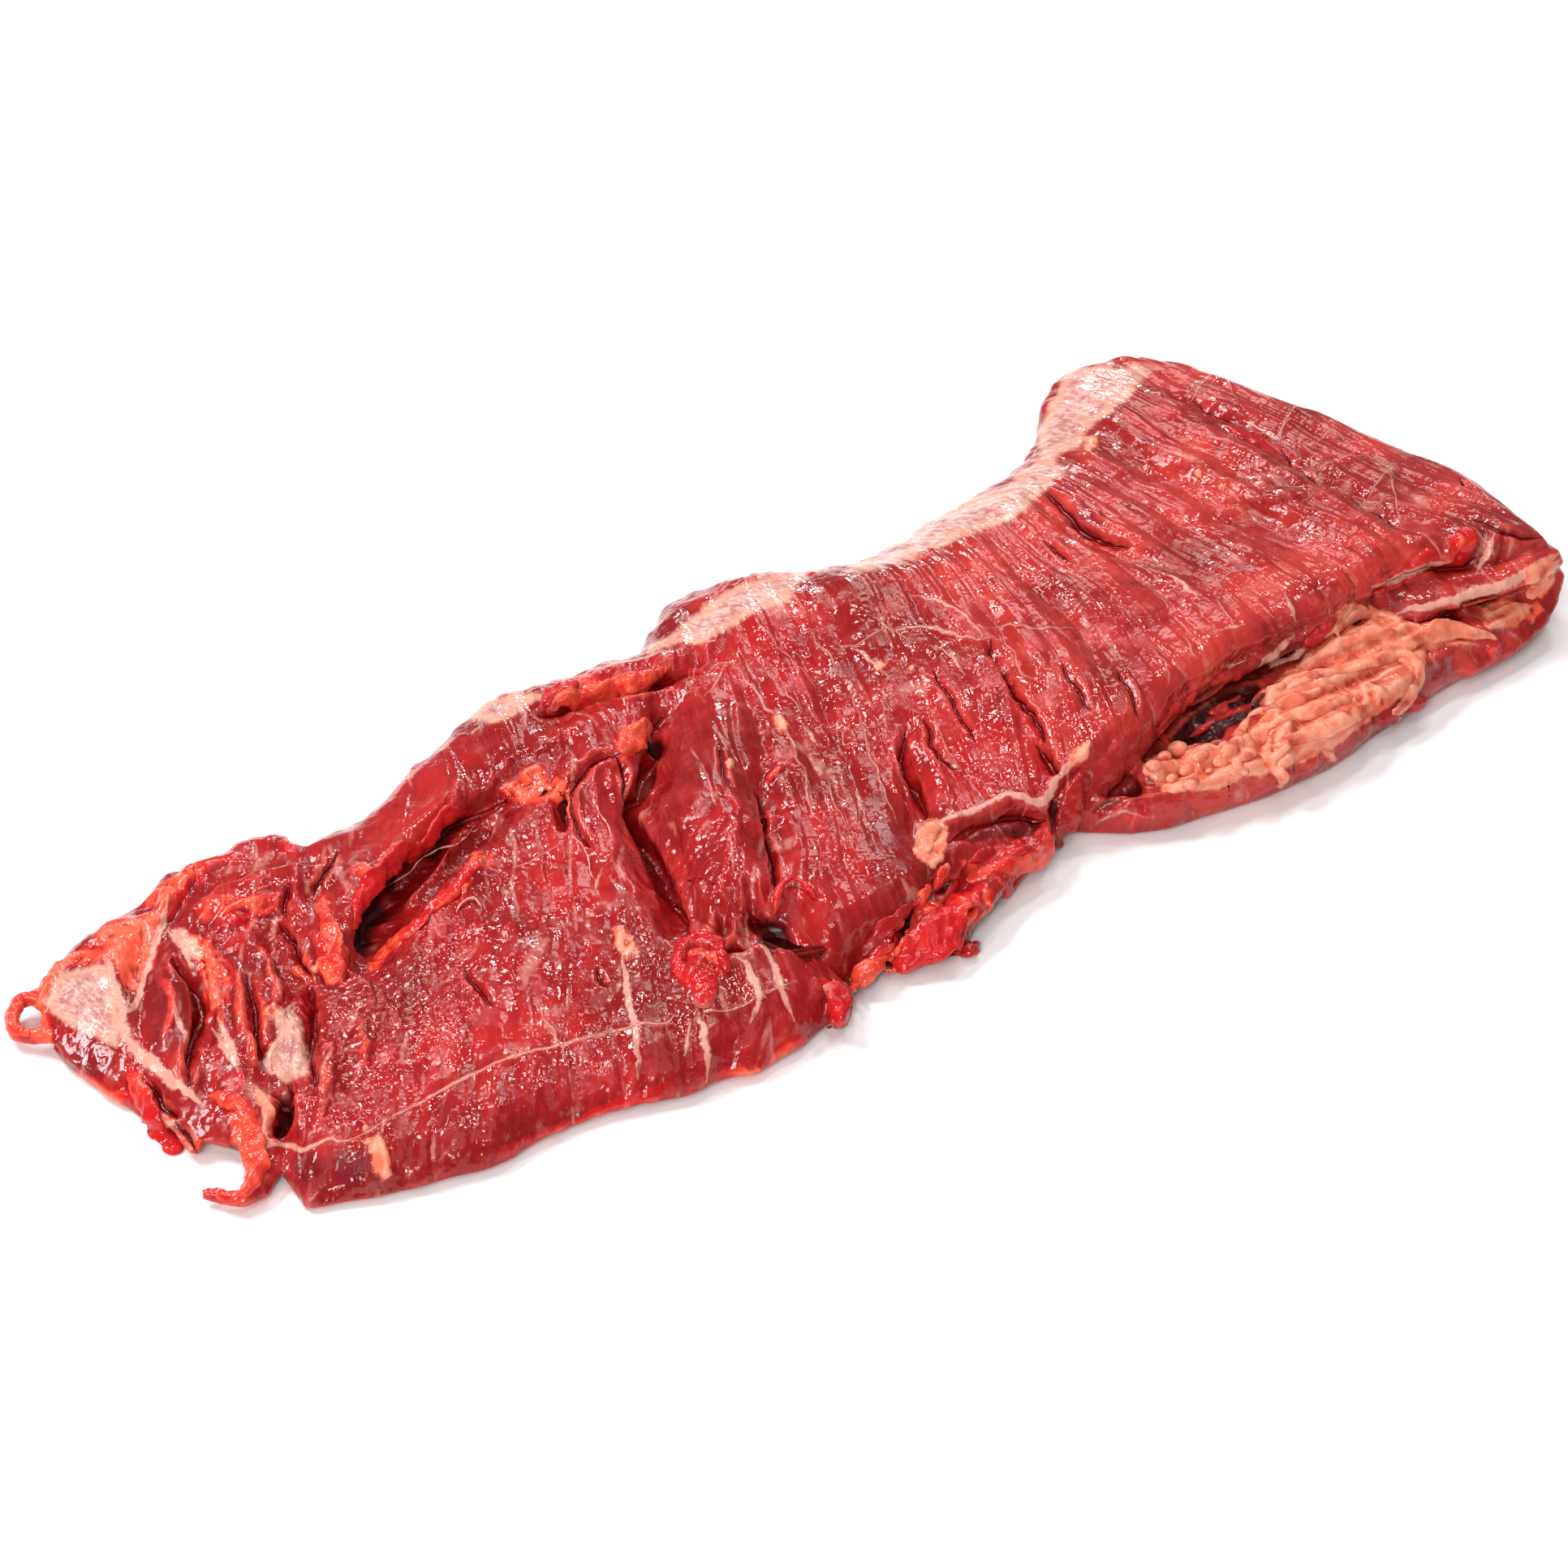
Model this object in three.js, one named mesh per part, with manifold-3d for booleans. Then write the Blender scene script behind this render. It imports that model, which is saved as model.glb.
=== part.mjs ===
// Raw beef flank steak: a long thin muscle strip, coarse grained across its length, whose wide end
// is folded under. Millimetres, +Z up, +X along the strip from its torn tip to the fold.
import * as THREE from 'three';
import { ImprovedNoise } from 'three/addons/math/ImprovedNoise.js';
import { mergeVertices } from 'three/addons/utils/BufferGeometryUtils.js';
import Module from 'manifold-3d';

const wasm = await Module();
wasm.setup();

// Driving dimensions of the folded strip.
const tipX = -205;               // torn tip of the upper layer
const foldX = 178;               // axis of the fold, at mid width
const layerGap = 2.6;            // free space between the two layers
const foldOuter = 15.2;          // outer radius of the fold
const foldInner = 1.4;           // inner radius of the fold
const foldHeight = 15.2;         // height of the fold's axis above the table
const underEndX = 8;             // where the folded-under layer ends
const underThick = 12.2;         // thickness of the folded-under layer
const underTuck = 14;            // how far it stays inside the upper layer's far edge
const centre = new THREE.Vector3(-7.3, 0, 0); // middle of the footprint, moved to the origin

// How finely the layers are divided.
const ringStep = 4.4;            // mean distance between sections of the upper layer
const foldRings = 8;
const underRings = 18;
const upperFace = 25;            // points across the outer face of the upper layer
const underFace = 12;            // points across the outer face of the folded-under layer
const innerFace = 6;             // points across a hidden face

const clamp01 = (value) => Math.min(1, Math.max(0, value));
const smooth = (low, high, value) => {
  const t = clamp01((value - low) / (high - low));
  return t * t * (3 - 2 * t);
};
const mix = THREE.MathUtils.lerp;
const perlin = new ImprovedNoise();
const noise = (x, y, size, layer = 0) => perlin.noise(x / size + 31.4, y / size + 17.2, layer + 0.5);

// A smooth curve through [place, value] keys, which doesn't overshoot between them.
function keyed(keys) {
  const slope = keys.slice(1).map(([x, v], i) => (v - keys[i][1]) / (x - keys[i][0]));
  const tangent = keys.map((_, i) => {
    if (i === 0) return slope[0];
    if (i === keys.length - 1) return slope[i - 1];
    const [a, b] = [slope[i - 1], slope[i]];
    return a * b <= 0 ? 0 : (2 * a * b) / (a + b);
  });
  return (x) => {
    if (x <= keys[0][0]) return keys[0][1];
    if (x >= keys[keys.length - 1][0]) return keys[keys.length - 1][1];
    const i = keys.findIndex(([place]) => place > x) - 1;
    const width = keys[i + 1][0] - keys[i][0];
    const t = (x - keys[i][0]) / width;
    return (
      keys[i][1] * (1 + 2 * t) * (1 - t) ** 2 + keys[i + 1][1] * t * t * (3 - 2 * t) +
      tangent[i] * width * t * (1 - t) ** 2 - tangent[i + 1] * width * t * t * (1 - t)
    );
  };
}

// Outline of the upper layer seen from above: the near and far edge along X, and the torn tip and
// the fold's axis across Y.
const nearEdge = keyed([
  [-205, -36], [-192, -45], [-178, -53], [-160, -59], [-135, -61], [-118, -66], [-100, -72],
  [-90, -74], [-76, -74], [-66, -71], [-59, -64], [-48, -62], [-30, -62], [0, -59], [18, -58],
  [36, -58], [50, -56], [70, -51], [95, -51], [118, -54], [140, -53], [158, -57], [174, -66], [192, -71],
]);
const farEdge = keyed([
  [-205, 54], [-192, 63], [-174, 67], [-160, 67], [-149, 72], [-138, 71], [-123, 69], [-112, 60],
  [-100, 59], [-90, 63], [-80, 67], [-66, 71], [-52, 75], [-40, 70], [-24, 68], [-12, 65], [0, 73],
  [14, 79], [26, 75], [42, 62], [62, 57], [92, 59], [112, 60], [124, 63], [136, 71], [146, 79],
  [154, 82], [162, 80], [174, 74], [192, 70],
]);
const tipLine = keyed([
  [-46, -196], [-34, -193], [-26, -190], [-14, -200], [8, -203], [30, -206], [52, -200], [66, -184],
]);
const foldLine = keyed([
  [-74, 174], [-60, 176], [-46, 179], [-30, 182], [-12, 181], [4, 180], [20, 177], [36, 174],
  [52, 172], [64, 168], [76, 161],
]);

// Heights of the upper layer: how far its underside stands off the table, and how thick it is.
const lift = keyed([[-14, 0], [4, 3], [20, 8], [40, 12.6], [60, 14.2], [90, 15.4], [178, 16.2]]);
const nearLift = keyed([[14, 0], [24, 4], [38, 8.5], [60, 12], [97, 15], [140, 17], [178, 16.6]]);
const thickness = keyed([
  [-205, 6.5], [-190, 9], [-160, 10.5], [-125, 11], [-100, 12], [-80, 13.5], [-60, 16], [-30, 18],
  [0, 17], [25, 15], [50, 13.6], [100, 12.6], [178, 12],
]);

// Breadth of the rounding along each edge, and how far the far edge droops where nothing holds it up.
const nearBevel = keyed([
  [-205, 8], [-190, 13], [-135, 17], [-80, 14], [-55, 8], [20, 7], [60, 9], [178, 8],
]);
const farBevel = keyed([
  [-205, 8], [-150, 10], [-100, 13], [0, 15], [60, 17], [120, 14], [160, 9], [178, 9],
]);
const farDroop = keyed([[-205, 1], [-80, 2], [-40, 3], [20, 6], [60, 9], [110, 9], [150, 5], [178, 0]]);
const underNear = keyed([
  [8, -42], [20, -50], [29, -60], [38, -68], [50, -72], [75, -78], [90, -80], [112, -78],
  [131, -76], [151, -75], [165, -75], [192, -74],
]);

// Direction of the muscle bundles, in degrees from +X, with their breadth, length and relief.
const grainAngle = keyed([[-205, 52], [-60, 58], [40, 63], [100, 86], [190, 94]]);
const bundleBreadth = 9;
const bundleLength = 34;
const bundleRelief = 1.5;
const unevenness = 1.2;          // broad rise and fall of the surface

// Furrows of the upper face, as seen from above. Beside one, the flesh stands up on the left or on
// the right of its direction by [height, reach], and step lowers everything on its right.
const furrows = [
  // between the two sheets
  {
    path: [[-144, 6], [-120, 22], [-102, 28], [-84, 33], [-68, 35]],
    width: 5.5, depth: 8, left: [3, 10], right: [2.5, 10],
  },
  {
    path: [[-74, 14], [-64, 26], [-54, 38]],
    width: 3.5, depth: 4, left: [1.5, 7], right: [1.5, 6],
  },
  // long crease
  {
    path: [[-26, 33], [-44, 19], [-58, 8], [-66, -9], [-75, -24], [-80, -35]],
    width: 4.8, depth: 8.5, left: [4.5, 16], right: [1, 7],
  },
  {
    path: [[-79, -30], [-72, -42], [-63, -51], [-60, -64]],
    width: 4, depth: 6, left: [3, 10], right: [3, 6],
  },
  {
    path: [[-30, -4], [-40, -19], [-54, -38]],
    width: 3, depth: 4, left: [1, 5], right: [1, 5],
  },
  {
    path: [[9, -13], [-6, -34], [-16, -47]],
    width: 3, depth: 3.5, left: [1, 5], right: [0.5, 5],
  },
  {
    path: [[52, 0], [34, -29], [20, -52]],
    width: 3, depth: 2.5, left: [1, 6], right: [0.5, 5],
  },
  {
    path: [[99, 34], [94, 9], [95, -16]],
    width: 3.6, depth: 4.5, left: [0.6, 8], right: [1.5, 6],
  },
  {
    path: [[-50, 50], [-28, 47], [-13, 43], [4, 42]],
    width: 3.6, depth: 4.5, left: [2.5, 6], right: [0.6, 6],
  },
  {
    path: [[-192, -30], [-180, -12], [-169, 0]],
    width: 3.6, depth: 5, left: [1, 6], right: [1.5, 6],
  },
  {
    path: [[-192, -6], [-180, 15], [-168, 34]],
    width: 3.6, depth: 4, left: [2, 6], right: [1, 6],
  },
  {
    path: [[-166, -8], [-154, 14], [-146, 36]],
    width: 4, depth: 4, left: [1.5, 6], right: [1.5, 6],
  },
  {
    path: [[-186, 26], [-176, 44], [-160, 52]],
    width: 4, depth: 3, left: [1.5, 6], right: [1, 6],
  },
  // ridge before the fold
  {
    path: [[166, 60], [160, 22], [158, -8], [157, -38], [170, -58]],
    width: 4, depth: 1.6, left: [0, 6], right: [1.8, 7], step: -1.5,
  },
  {
    path: [[136, 52], [128, 20], [131, -12], [126, -42]],
    width: 5, depth: 1.8, left: [0.6, 9], right: [0.6, 9],
  },
];

// Signed distance from a point to a path, negative on its left, and how far along the path it is.
function besidePath(path, x, y) {
  let best = { distance: Infinity, side: 0, along: 0 };
  for (let i = 0; i + 1 < path.length; i++) {
    const [ax, ay] = path[i];
    const [dx, dy] = [path[i + 1][0] - ax, path[i + 1][1] - ay];
    const t = clamp01(((x - ax) * dx + (y - ay) * dy) / (dx * dx + dy * dy));
    const [ex, ey] = [x - ax - dx * t, y - ay - dy * t];
    const distance = Math.hypot(ex, ey);
    if (distance < best.distance) {
      best = { distance, side: Math.sign(ex * dy - ey * dx), along: (i + t) / (path.length - 1) };
    }
  }
  return best;
}

function furrowRelief(x, y) {
  let height = 0;
  for (const { path, width, depth, left, right, step = 0 } of furrows) {
    const { distance, side, along } = besidePath(path, x, y);
    if (distance > 40) continue;
    const fade = Math.sqrt(Math.sin(Math.PI * mix(0.04, 0.96, along)));
    const [lip, reach] = side < 0 ? left : right;
    height -= depth * fade * Math.exp(-((distance / width) ** 2));
    height += lip * fade * Math.exp(-(((distance - reach) / (0.6 * reach)) ** 2));
    if (side > 0) height -= step * fade * Math.exp(-((distance / (6 * width)) ** 2));
  }
  return height;
}

// Long low swellings along the grain, on a gently uneven surface.
function bundles(x, y) {
  const angle = THREE.MathUtils.degToRad(grainAngle(x));
  const across = x * Math.sin(angle) - y * Math.cos(angle);
  const along = x * Math.cos(angle) + y * Math.sin(angle);
  const swelling = perlin.noise(across / bundleBreadth, along / bundleLength, 8.5);
  return bundleRelief * swelling + unevenness * noise(x, y, 24, 3);
}

// Where a point lies in the plan, given its part of the way from tip to fold and its share across.
function planPoint(part, share) {
  let x = mix(tipX, foldX, part);
  let y = 0;
  for (let pass = 0; pass < 4; pass++) {
    const near = nearEdge(x) + 1.8 * noise(x, 0, 9);
    const far = farEdge(x) + 1.6 * noise(x, 50, 8);
    y = mix(near, far, (share + 1) / 2);
    x = mix(tipLine(y) + 2 * noise(0, y, 7, 2), foldLine(y), part);
  }
  return [x, y];
}

// How far an edge's rounding brings the surface down, at a distance from the edge.
const rounded = (distance, width) => mix(0.3, 1, Math.sqrt(1 - (1 - clamp01(distance / width)) ** 2));

// Underside and outer face of the upper layer at a point of the plan; share runs from -1 at the
// near edge to 1 at the far edge.
function upperHeights(x, y, share) {
  const nearShare = smooth(-0.25, -0.85, share);
  const droop = farDroop(x) * smooth(0.45, 1, share);
  const under = Math.max(0, mix(lift(x), nearLift(x), nearShare) - droop);
  const across = farEdge(x) - nearEdge(x);
  const fromNear = ((share + 1) / 2) * across;
  const edges = rounded(fromNear, nearBevel(x)) * rounded(across - fromNear, farBevel(x));
  const body = thickness(x) * (1 - 0.1 * share * share) + furrowRelief(x, y) + bundles(x, y);
  return [under, under + Math.max(2.5, body * edges)];
}

// Points of a ring round a slab's section: [share across, 0 inner face to 1 outer face].
function sectionSteps(outerCount, innerCount) {
  const steps = [[-1, 0.5]];
  const edge = 0.965;
  for (let i = 0; i < outerCount; i++) {
    const even = mix(-1, 1, i / (outerCount - 1));
    steps.push([edge * mix(even, Math.sin((Math.PI * even) / 2), 0.3), 1]);
  }
  steps.push([1, 0.5]);
  for (let i = 0; i < innerCount; i++) steps.push([mix(edge, -edge, i / (innerCount - 1)), 0]);
  return steps;
}

// Closes a row of rings into one solid. Each end is zipped shut between its two faces, which meet
// at point 0 and at point far.
function loft(rings, far) {
  const count = rings[0].length;
  const faces = [];
  for (let r = 0; r + 1 < rings.length; r++) {
    for (let i = 0; i < count; i++) {
      const [a, b] = [r * count + i, r * count + ((i + 1) % count)];
      faces.push([a, b, b + count], [a, b + count, a + count]);
    }
  }
  const zip = (base, turn) => {
    let [up, down] = [0, count];
    const at = (i) => base + (i % count);
    while (up < far || down > far) {
      const advanceUp = down <= far || (up < far && up / far <= (count - down) / (count - far));
      const next = advanceUp ? up + 1 : down - 1;
      const face = [at(up), at(next), at(down)];
      if (new Set(face).size === 3) faces.push(turn ? face : face.reverse());
      if (advanceUp) up = next;
      else down = next;
    }
  };
  zip(0, false);
  zip((rings.length - 1) * count, true);
  return solidFrom(rings.flat(), faces);
}

// A closed triangle mesh as a solid that can be joined, turned to face outwards.
function solidFrom(points, faces) {
  const make = (order) => {
    const geometry = new THREE.BufferGeometry().setFromPoints(points);
    geometry.setIndex(faces.flatMap(order));
    return solidOf(geometry);
  };
  const solid = make((face) => face);
  return solid.volume() > 0 ? solid : make(([a, b, c]) => [a, c, b]);
}

function solidOf(geometry) {
  geometry.deleteAttribute('normal');
  geometry.deleteAttribute('uv');
  const merged = mergeVertices(geometry, 1e-4);
  return new wasm.Manifold(new wasm.Mesh({
    numProp: 3,
    vertProperties: merged.attributes.position.array,
    triVerts: new Uint32Array(merged.index.array),
  }));
}

// The upper layer with the fold at its right end, ending just past the fold on the table.
function upperLayer() {
  const steps = sectionSteps(upperFace, innerFace);
  const rings = [];
  const closer = keyed([[-205, 0.86], [-70, 0.86], [-30, 1.12], [100, 1.12], [140, 0.95], [178, 0.9]]);
  const places = [tipX];
  while (places[places.length - 1] < foldX - ringStep) {
    const last = places[places.length - 1];
    places.push(last + ringStep * closer(last));
  }
  places.push(foldX);
  for (const nominal of places) {
    const part = (nominal - tipX) / (foldX - tipX);
    const endThin = Math.sqrt(smooth(-0.012, 0.03, part));
    rings.push(steps.map(([share, face]) => {
      const [x, y] = planPoint(part, share);
      const [under, top] = upperHeights(x, y, share);
      return new THREE.Vector3(x, y, mix(under, mix(under + 2, top, endThin), face));
    }));
  }
  for (let r = 1; r <= foldRings; r++) {
    const turn = (r / foldRings) * Math.PI;
    const nominal = mix(foldX, 192, Math.sin(turn / 2));
    rings.push(steps.map(([share, face]) => {
      const y = mix(nearEdge(nominal), farEdge(nominal), (share + 1) / 2);
      const [under, top] = upperHeights(foldLine(y), y, share);
      const rest = clamp01(1 - turn / 2);
      const outer = foldOuter + rest * (top - foldHeight - foldOuter) + 0.5 * noise(turn * 15, y, 9, 5);
      const inner = mix(foldInner, under - foldHeight, rest);
      const radius = mix(inner, Math.min(outer, r === foldRings ? foldHeight : 99), face);
      const [out, up] = [radius * Math.sin(turn), radius * Math.cos(turn)];
      return new THREE.Vector3(foldLine(y) + out, y, foldHeight + up);
    }));
  }
  const last = rings[rings.length - 1];
  rings.push(last.map((p) => new THREE.Vector3(p.x - 8, p.y, p.z)));
  return loft(rings, upperFace + 1);
}

// The folded-under layer, flat on the table, with a rounded near edge and a thin hidden end.
function underLayer() {
  const steps = sectionSteps(underFace, innerFace);
  const rings = [];
  for (let r = 0; r <= underRings; r++) {
    const part = r / underRings;
    const nominal = mix(underEndX, foldX - 3, part);
    rings.push(steps.map(([share, face]) => {
      const far = farEdge(nominal) - mix(underTuck, 2, smooth(130, 174, nominal));
      const y = mix(underNear(nominal) + noise(nominal, 80, 9), far, (share + 1) / 2);
      const x = nominal + 4 * noise(0, y, 14, 7) * (1 - part);
      const nearShare = smooth(-0.25, -0.85, share);
      const ceiling = mix(lift(x), nearLift(x), nearShare) - farDroop(x) * smooth(0.5, 1, share) - layerGap;
      const free = underThick + 1.5 * noise(x, y, 16, 6);
      const tucked = smooth(-1.02, -0.8, share);
      const top = Math.max(2.2, Math.min(free, mix(free, ceiling, tucked)));
      return new THREE.Vector3(x, y, face === 1 ? top : face === 0 ? 0 : top * 0.45);
    }));
  }
  return loft(rings, underFace + 1);
}

// A strip of flesh or fat along a curve: widths and heights are given at its ends and middle, and
// lean turns its flat side away from level.
function strand({ path, width, height, lean = 0, sides = 6, steps = 6 }) {
  const curve = new THREE.CatmullRomCurve3(path.map((p) => new THREE.Vector3(...p)));
  const widthAt = keyed(width.map((w, i) => [i / (width.length - 1), w]));
  const heightAt = keyed(height.map((h, i) => [i / (height.length - 1), h]));
  const points = [];
  const faces = [];
  for (let r = 0; r <= steps; r++) {
    const t = r / steps;
    const along = curve.getTangentAt(t);
    const across = new THREE.Vector3(-along.y, along.x, 0).normalize().applyAxisAngle(along, lean);
    const up = new THREE.Vector3().crossVectors(along, across);
    for (let i = 0; i < sides; i++) {
      const angle = (2 * Math.PI * i) / sides;
      points.push(curve.getPointAt(t)
        .addScaledVector(across, (Math.cos(angle) * widthAt(t)) / 2)
        .addScaledVector(up, (Math.sin(angle) * heightAt(t)) / 2));
    }
  }
  for (let r = 0; r < steps; r++) {
    for (let i = 0; i < sides; i++) {
      const [a, b] = [r * sides + i, r * sides + ((i + 1) % sides)];
      faces.push([a, b, b + sides], [a, b + sides, a + sides]);
    }
  }
  const end = steps * sides;
  for (let i = 1; i + 1 < sides; i++) faces.push([0, i + 1, i], [end, end + i, end + i + 1]);
  return solidFrom(points, faces);
}

// Torn strips, flaps and loose ends round the rim, each along a path of [x, y, z].
const strands = [
  // loop at the tip
  {
    path: [[-194, 50, 5], [-202, 56, 4], [-208, 50, 3], [-206, 43, 3.2], [-196, 40, 5]],
    width: [5, 4, 5], height: [4, 4, 4], steps: 10,
  },
  {
    path: [[-188, 26, 5], [-196, 4, 4], [-203, -14, 3.2]],
    width: [14, 12, 3], height: [5, 5, 3],
  },
  {
    path: [[-182, 8, 7], [-188, -14, 5.6], [-195, -28, 4], [-202, -34, 3]],
    width: [12, 13, 7], height: [6, 6, 4],
  },
  // loose tail
  {
    path: [[-196, -29, 3], [-203, -34, 2.6], [-207, -30, 2.2], [-210, -25, 2]],
    width: [7, 5, 2.5], height: [4, 3.6, 2.4],
  },
  {
    path: [[-26, -54, 10], [-40, -60, 6.5], [-48, -64, 4.5], [-55, -67, 3]],
    width: [12, 10, 5], height: [7, 5, 3.4], lean: 0.5,
  },
  {
    path: [[-2, -58, 5], [-13, -64, 6], [-26, -65, 5], [-37, -66, 4], [-46, -66, 2.4]],
    width: [10, 13, 4], height: [6, 7, 3], lean: 0.4,
  },
  {
    path: [[20, -53, 9], [9, -58, 6.4], [-3, -57, 7], [-13, -56, 7]],
    width: [9, 13, 6], height: [8, 8, 5], lean: 0.6,
  },
  {
    path: [[-8, -53, 12], [-17, -57, 9.5], [-28, -61, 6.4], [-36, -61, 4]],
    width: [6, 8, 4], height: [5, 5, 3], lean: 0.7,
  },
  {
    path: [[8, -56, 2.4], [0, -60, 2.2], [-5, -64, 1.8]],
    width: [8, 7, 3], height: [4, 3.6, 2.4], steps: 4,
  },
  {
    path: [[-25, -64, 2.2], [-25, -71, 2], [-24, -75, 1.6]],
    width: [8, 6, 3], height: [4, 3.4, 2.4], steps: 4,
  },
  // lump on the near sheet
  {
    path: [[-78, -34, 12], [-81, -44, 13], [-89, -52, 11], [-97, -59, 8.6]],
    width: [6, 13, 5], height: [7, 8, 4],
  },
  {
    path: [[-64, -46, 14], [-57, -43, 17.6], [-53, -45, 17.6], [-51, -51, 15]],
    width: [3.5, 3.4, 3], height: [3, 2.6, 2.4],
  },
  {
    path: [[-62, -60, 6], [-63, -69, 6], [-69, -76, 4.5]],
    width: [7, 8, 5], height: [8, 7, 5], steps: 4,
  },
  // lifted far strip
  {
    path: [[-54, 60, 10], [-38, 57, 14], [-24, 52, 16], [-8, 47, 17.4]],
    width: [12, 11, 6], height: [6, 6, 4],
  },
  {
    path: [[-56, 70, 5], [-44, 66, 8], [-33, 62, 11], [-24, 62, 10]],
    width: [10, 12, 8], height: [6, 6, 5],
  },
  {
    path: [[-44, 30, 12], [-34, 38, 15], [-24, 44, 16], [-16, 50, 15]],
    width: [9, 11, 7], height: [7, 7, 5],
  },
  // roll beside the long crease
  {
    path: [[-78, 2, 11], [-67, 16, 13.4], [-57, 29, 14.6], [-46, 38, 13.6]],
    width: [8, 14, 8], height: [7, 8, 6],
  },
  {
    path: [[-128, 22, 4], [-112, 27, 6], [-96, 33, 7], [-84, 40, 8]],
    width: [5, 6, 4], height: [4, 4, 3],
  },
  {
    path: [[-162, 46, 7], [-146, 48, 10], [-132, 42, 11], [-120, 34, 9]],
    width: [12, 15, 9], height: [7, 8, 6],
  },
  {
    path: [[-150, -20, 8], [-148, 0, 10.5], [-150, 18, 10]],
    width: [8, 12, 7], height: [6, 8, 6],
  },
  // second lip under the near edge
  {
    path: [[130, -42, 18], [141, -52, 16.4], [157, -60, 16.4], [170, -65, 17.6], [188, -67, 18]],
    width: [12, 15, 10], height: [7, 7, 8],
  },
  // fat ridge of the under layer
  {
    path: [[104, -50, 10], [125, -56, 13], [140, -62, 13.6], [150, -68, 11.6], [158, -76, 7.6]],
    width: [16, 13, 5], height: [8, 8, 4],
  },
  {
    path: [[146, -72, 4.5], [164, -73, 5], [178, -71, 8], [187, -67, 14]],
    width: [11, 11, 9], height: [7, 8, 8],
  },
  // curled tube of fat
  {
    path: [[88, -62, 11], [84, -70, 12], [77, -76, 11], [73, -80, 8]],
    width: [5, 6, 5], height: [5, 5, 4],
  },
  {
    path: [[72, -54, 11], [90, -58, 12.6], [107, -63, 12.6], [128, -66, 10.6]],
    width: [5, 9, 5], height: [5, 5, 4],
  },
  {
    path: [[78, -64, 10.6], [91, -68, 11.4], [107, -71, 10.4], [126, -73, 8]],
    width: [5, 8, 5], height: [5, 5, 4],
  },
];

// Lobes of fat on the near edge of the folded-under layer: two rows that close up to the left.
const lobeRows = [
  { from: [48, -59, 10.4], to: [73, -66, 11], count: 5, size: [9, 8, 6] },
  { from: [46, -66, 7.6], to: [74, -73, 8.6], count: 5, size: [9, 7.5, 6] },
  { from: [84, -77, 7], to: [124, -76, 6], count: 5, size: [11, 6, 6] },
];
function fatLobe({ from, to, count, size }, index, row) {
  const jitter = (layer) => noise(index * 7.3, row * 5.1, 1, layer);
  const place = new THREE.Vector3(...from).lerp(new THREE.Vector3(...to), index / (count - 1));
  place.add(new THREE.Vector3(1.6 * jitter(1), 2.4 * jitter(2), 1.2 * jitter(3)));
  const lobe = new THREE.SphereGeometry(0.5, 6, 4);
  lobe.applyMatrix4(new THREE.Matrix4().compose(
    place,
    new THREE.Quaternion().setFromEuler(new THREE.Euler(0.4 * jitter(6), 0, 1.2 * jitter(4))),
    new THREE.Vector3(...size).multiplyScalar(1.1 + 0.3 * jitter(5)),
  ));
  return solidOf(lobe);
}

function steak() {
  let solid = upperLayer().add(underLayer());
  for (const form of strands) solid = solid.add(strand(form));
  lobeRows.forEach((lobes, row) => {
    for (let index = 0; index < lobes.count; index++) solid = solid.add(fatLobe(lobes, index, row));
  });
  const aboveTable = new THREE.BoxGeometry(600, 400, 100).translate(0, 0, 50);
  return solid.intersect(solidOf(aboveTable));
}

function geometryOf(solid) {
  const { vertProperties, triVerts } = solid.getMesh();
  const geometry = new THREE.BufferGeometry();
  geometry.setAttribute('position', new THREE.BufferAttribute(new Float32Array(vertProperties), 3));
  geometry.setIndex(new THREE.BufferAttribute(new Uint32Array(triVerts), 1));
  geometry.translate(-centre.x, -centre.y, -centre.z);
  geometry.computeVertexNormals();
  return geometry;
}

const rawBeef = new THREE.MeshStandardMaterial({ color: 0xa8363a, roughness: 0.35, metalness: 0 });
const steakMesh = new THREE.Mesh(geometryOf(steak()), rawBeef);
steakMesh.name = 'steak';

const part = new THREE.Group();
part.add(steakMesh);
export default part;
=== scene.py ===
# Raw beef flank steak, folded under at its wide end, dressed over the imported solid.
import math
import bmesh
import bpy
import numpy as np
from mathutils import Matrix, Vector, noise
from mathutils.bvhtree import BVHTree
from mathutils.kdtree import KDTree


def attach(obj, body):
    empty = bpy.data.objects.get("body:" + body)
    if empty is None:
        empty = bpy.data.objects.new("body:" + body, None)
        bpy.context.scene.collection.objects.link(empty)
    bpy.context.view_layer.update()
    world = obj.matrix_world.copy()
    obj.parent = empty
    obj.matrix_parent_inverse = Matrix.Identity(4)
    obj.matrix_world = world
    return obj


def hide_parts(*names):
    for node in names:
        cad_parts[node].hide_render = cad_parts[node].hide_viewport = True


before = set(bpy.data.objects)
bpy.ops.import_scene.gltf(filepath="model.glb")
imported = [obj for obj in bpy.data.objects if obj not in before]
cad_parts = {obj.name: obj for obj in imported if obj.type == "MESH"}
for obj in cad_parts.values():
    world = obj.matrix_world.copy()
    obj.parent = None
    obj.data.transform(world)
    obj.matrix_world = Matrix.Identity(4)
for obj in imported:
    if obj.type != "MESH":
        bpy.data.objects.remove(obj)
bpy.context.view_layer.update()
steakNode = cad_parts["steak"]
mm = 0.001

# the camera, with the photo's frame in pixels
photoView = {
    "azimuth": -42.0, "elevation": 35.0, "distance": 1.1, "lens": 105.0, "sensor": 36.0,
    "target": (-0.0147, -0.005, 0.012), "pixels": 1932,
}


def outward(side, rise):  # the way out from the steak at a side and a rise in degrees
    side, rise = math.radians(side), math.radians(rise)
    return Vector((math.sin(side) * math.cos(rise), -math.cos(side) * math.cos(rise), math.sin(rise)))


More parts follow.
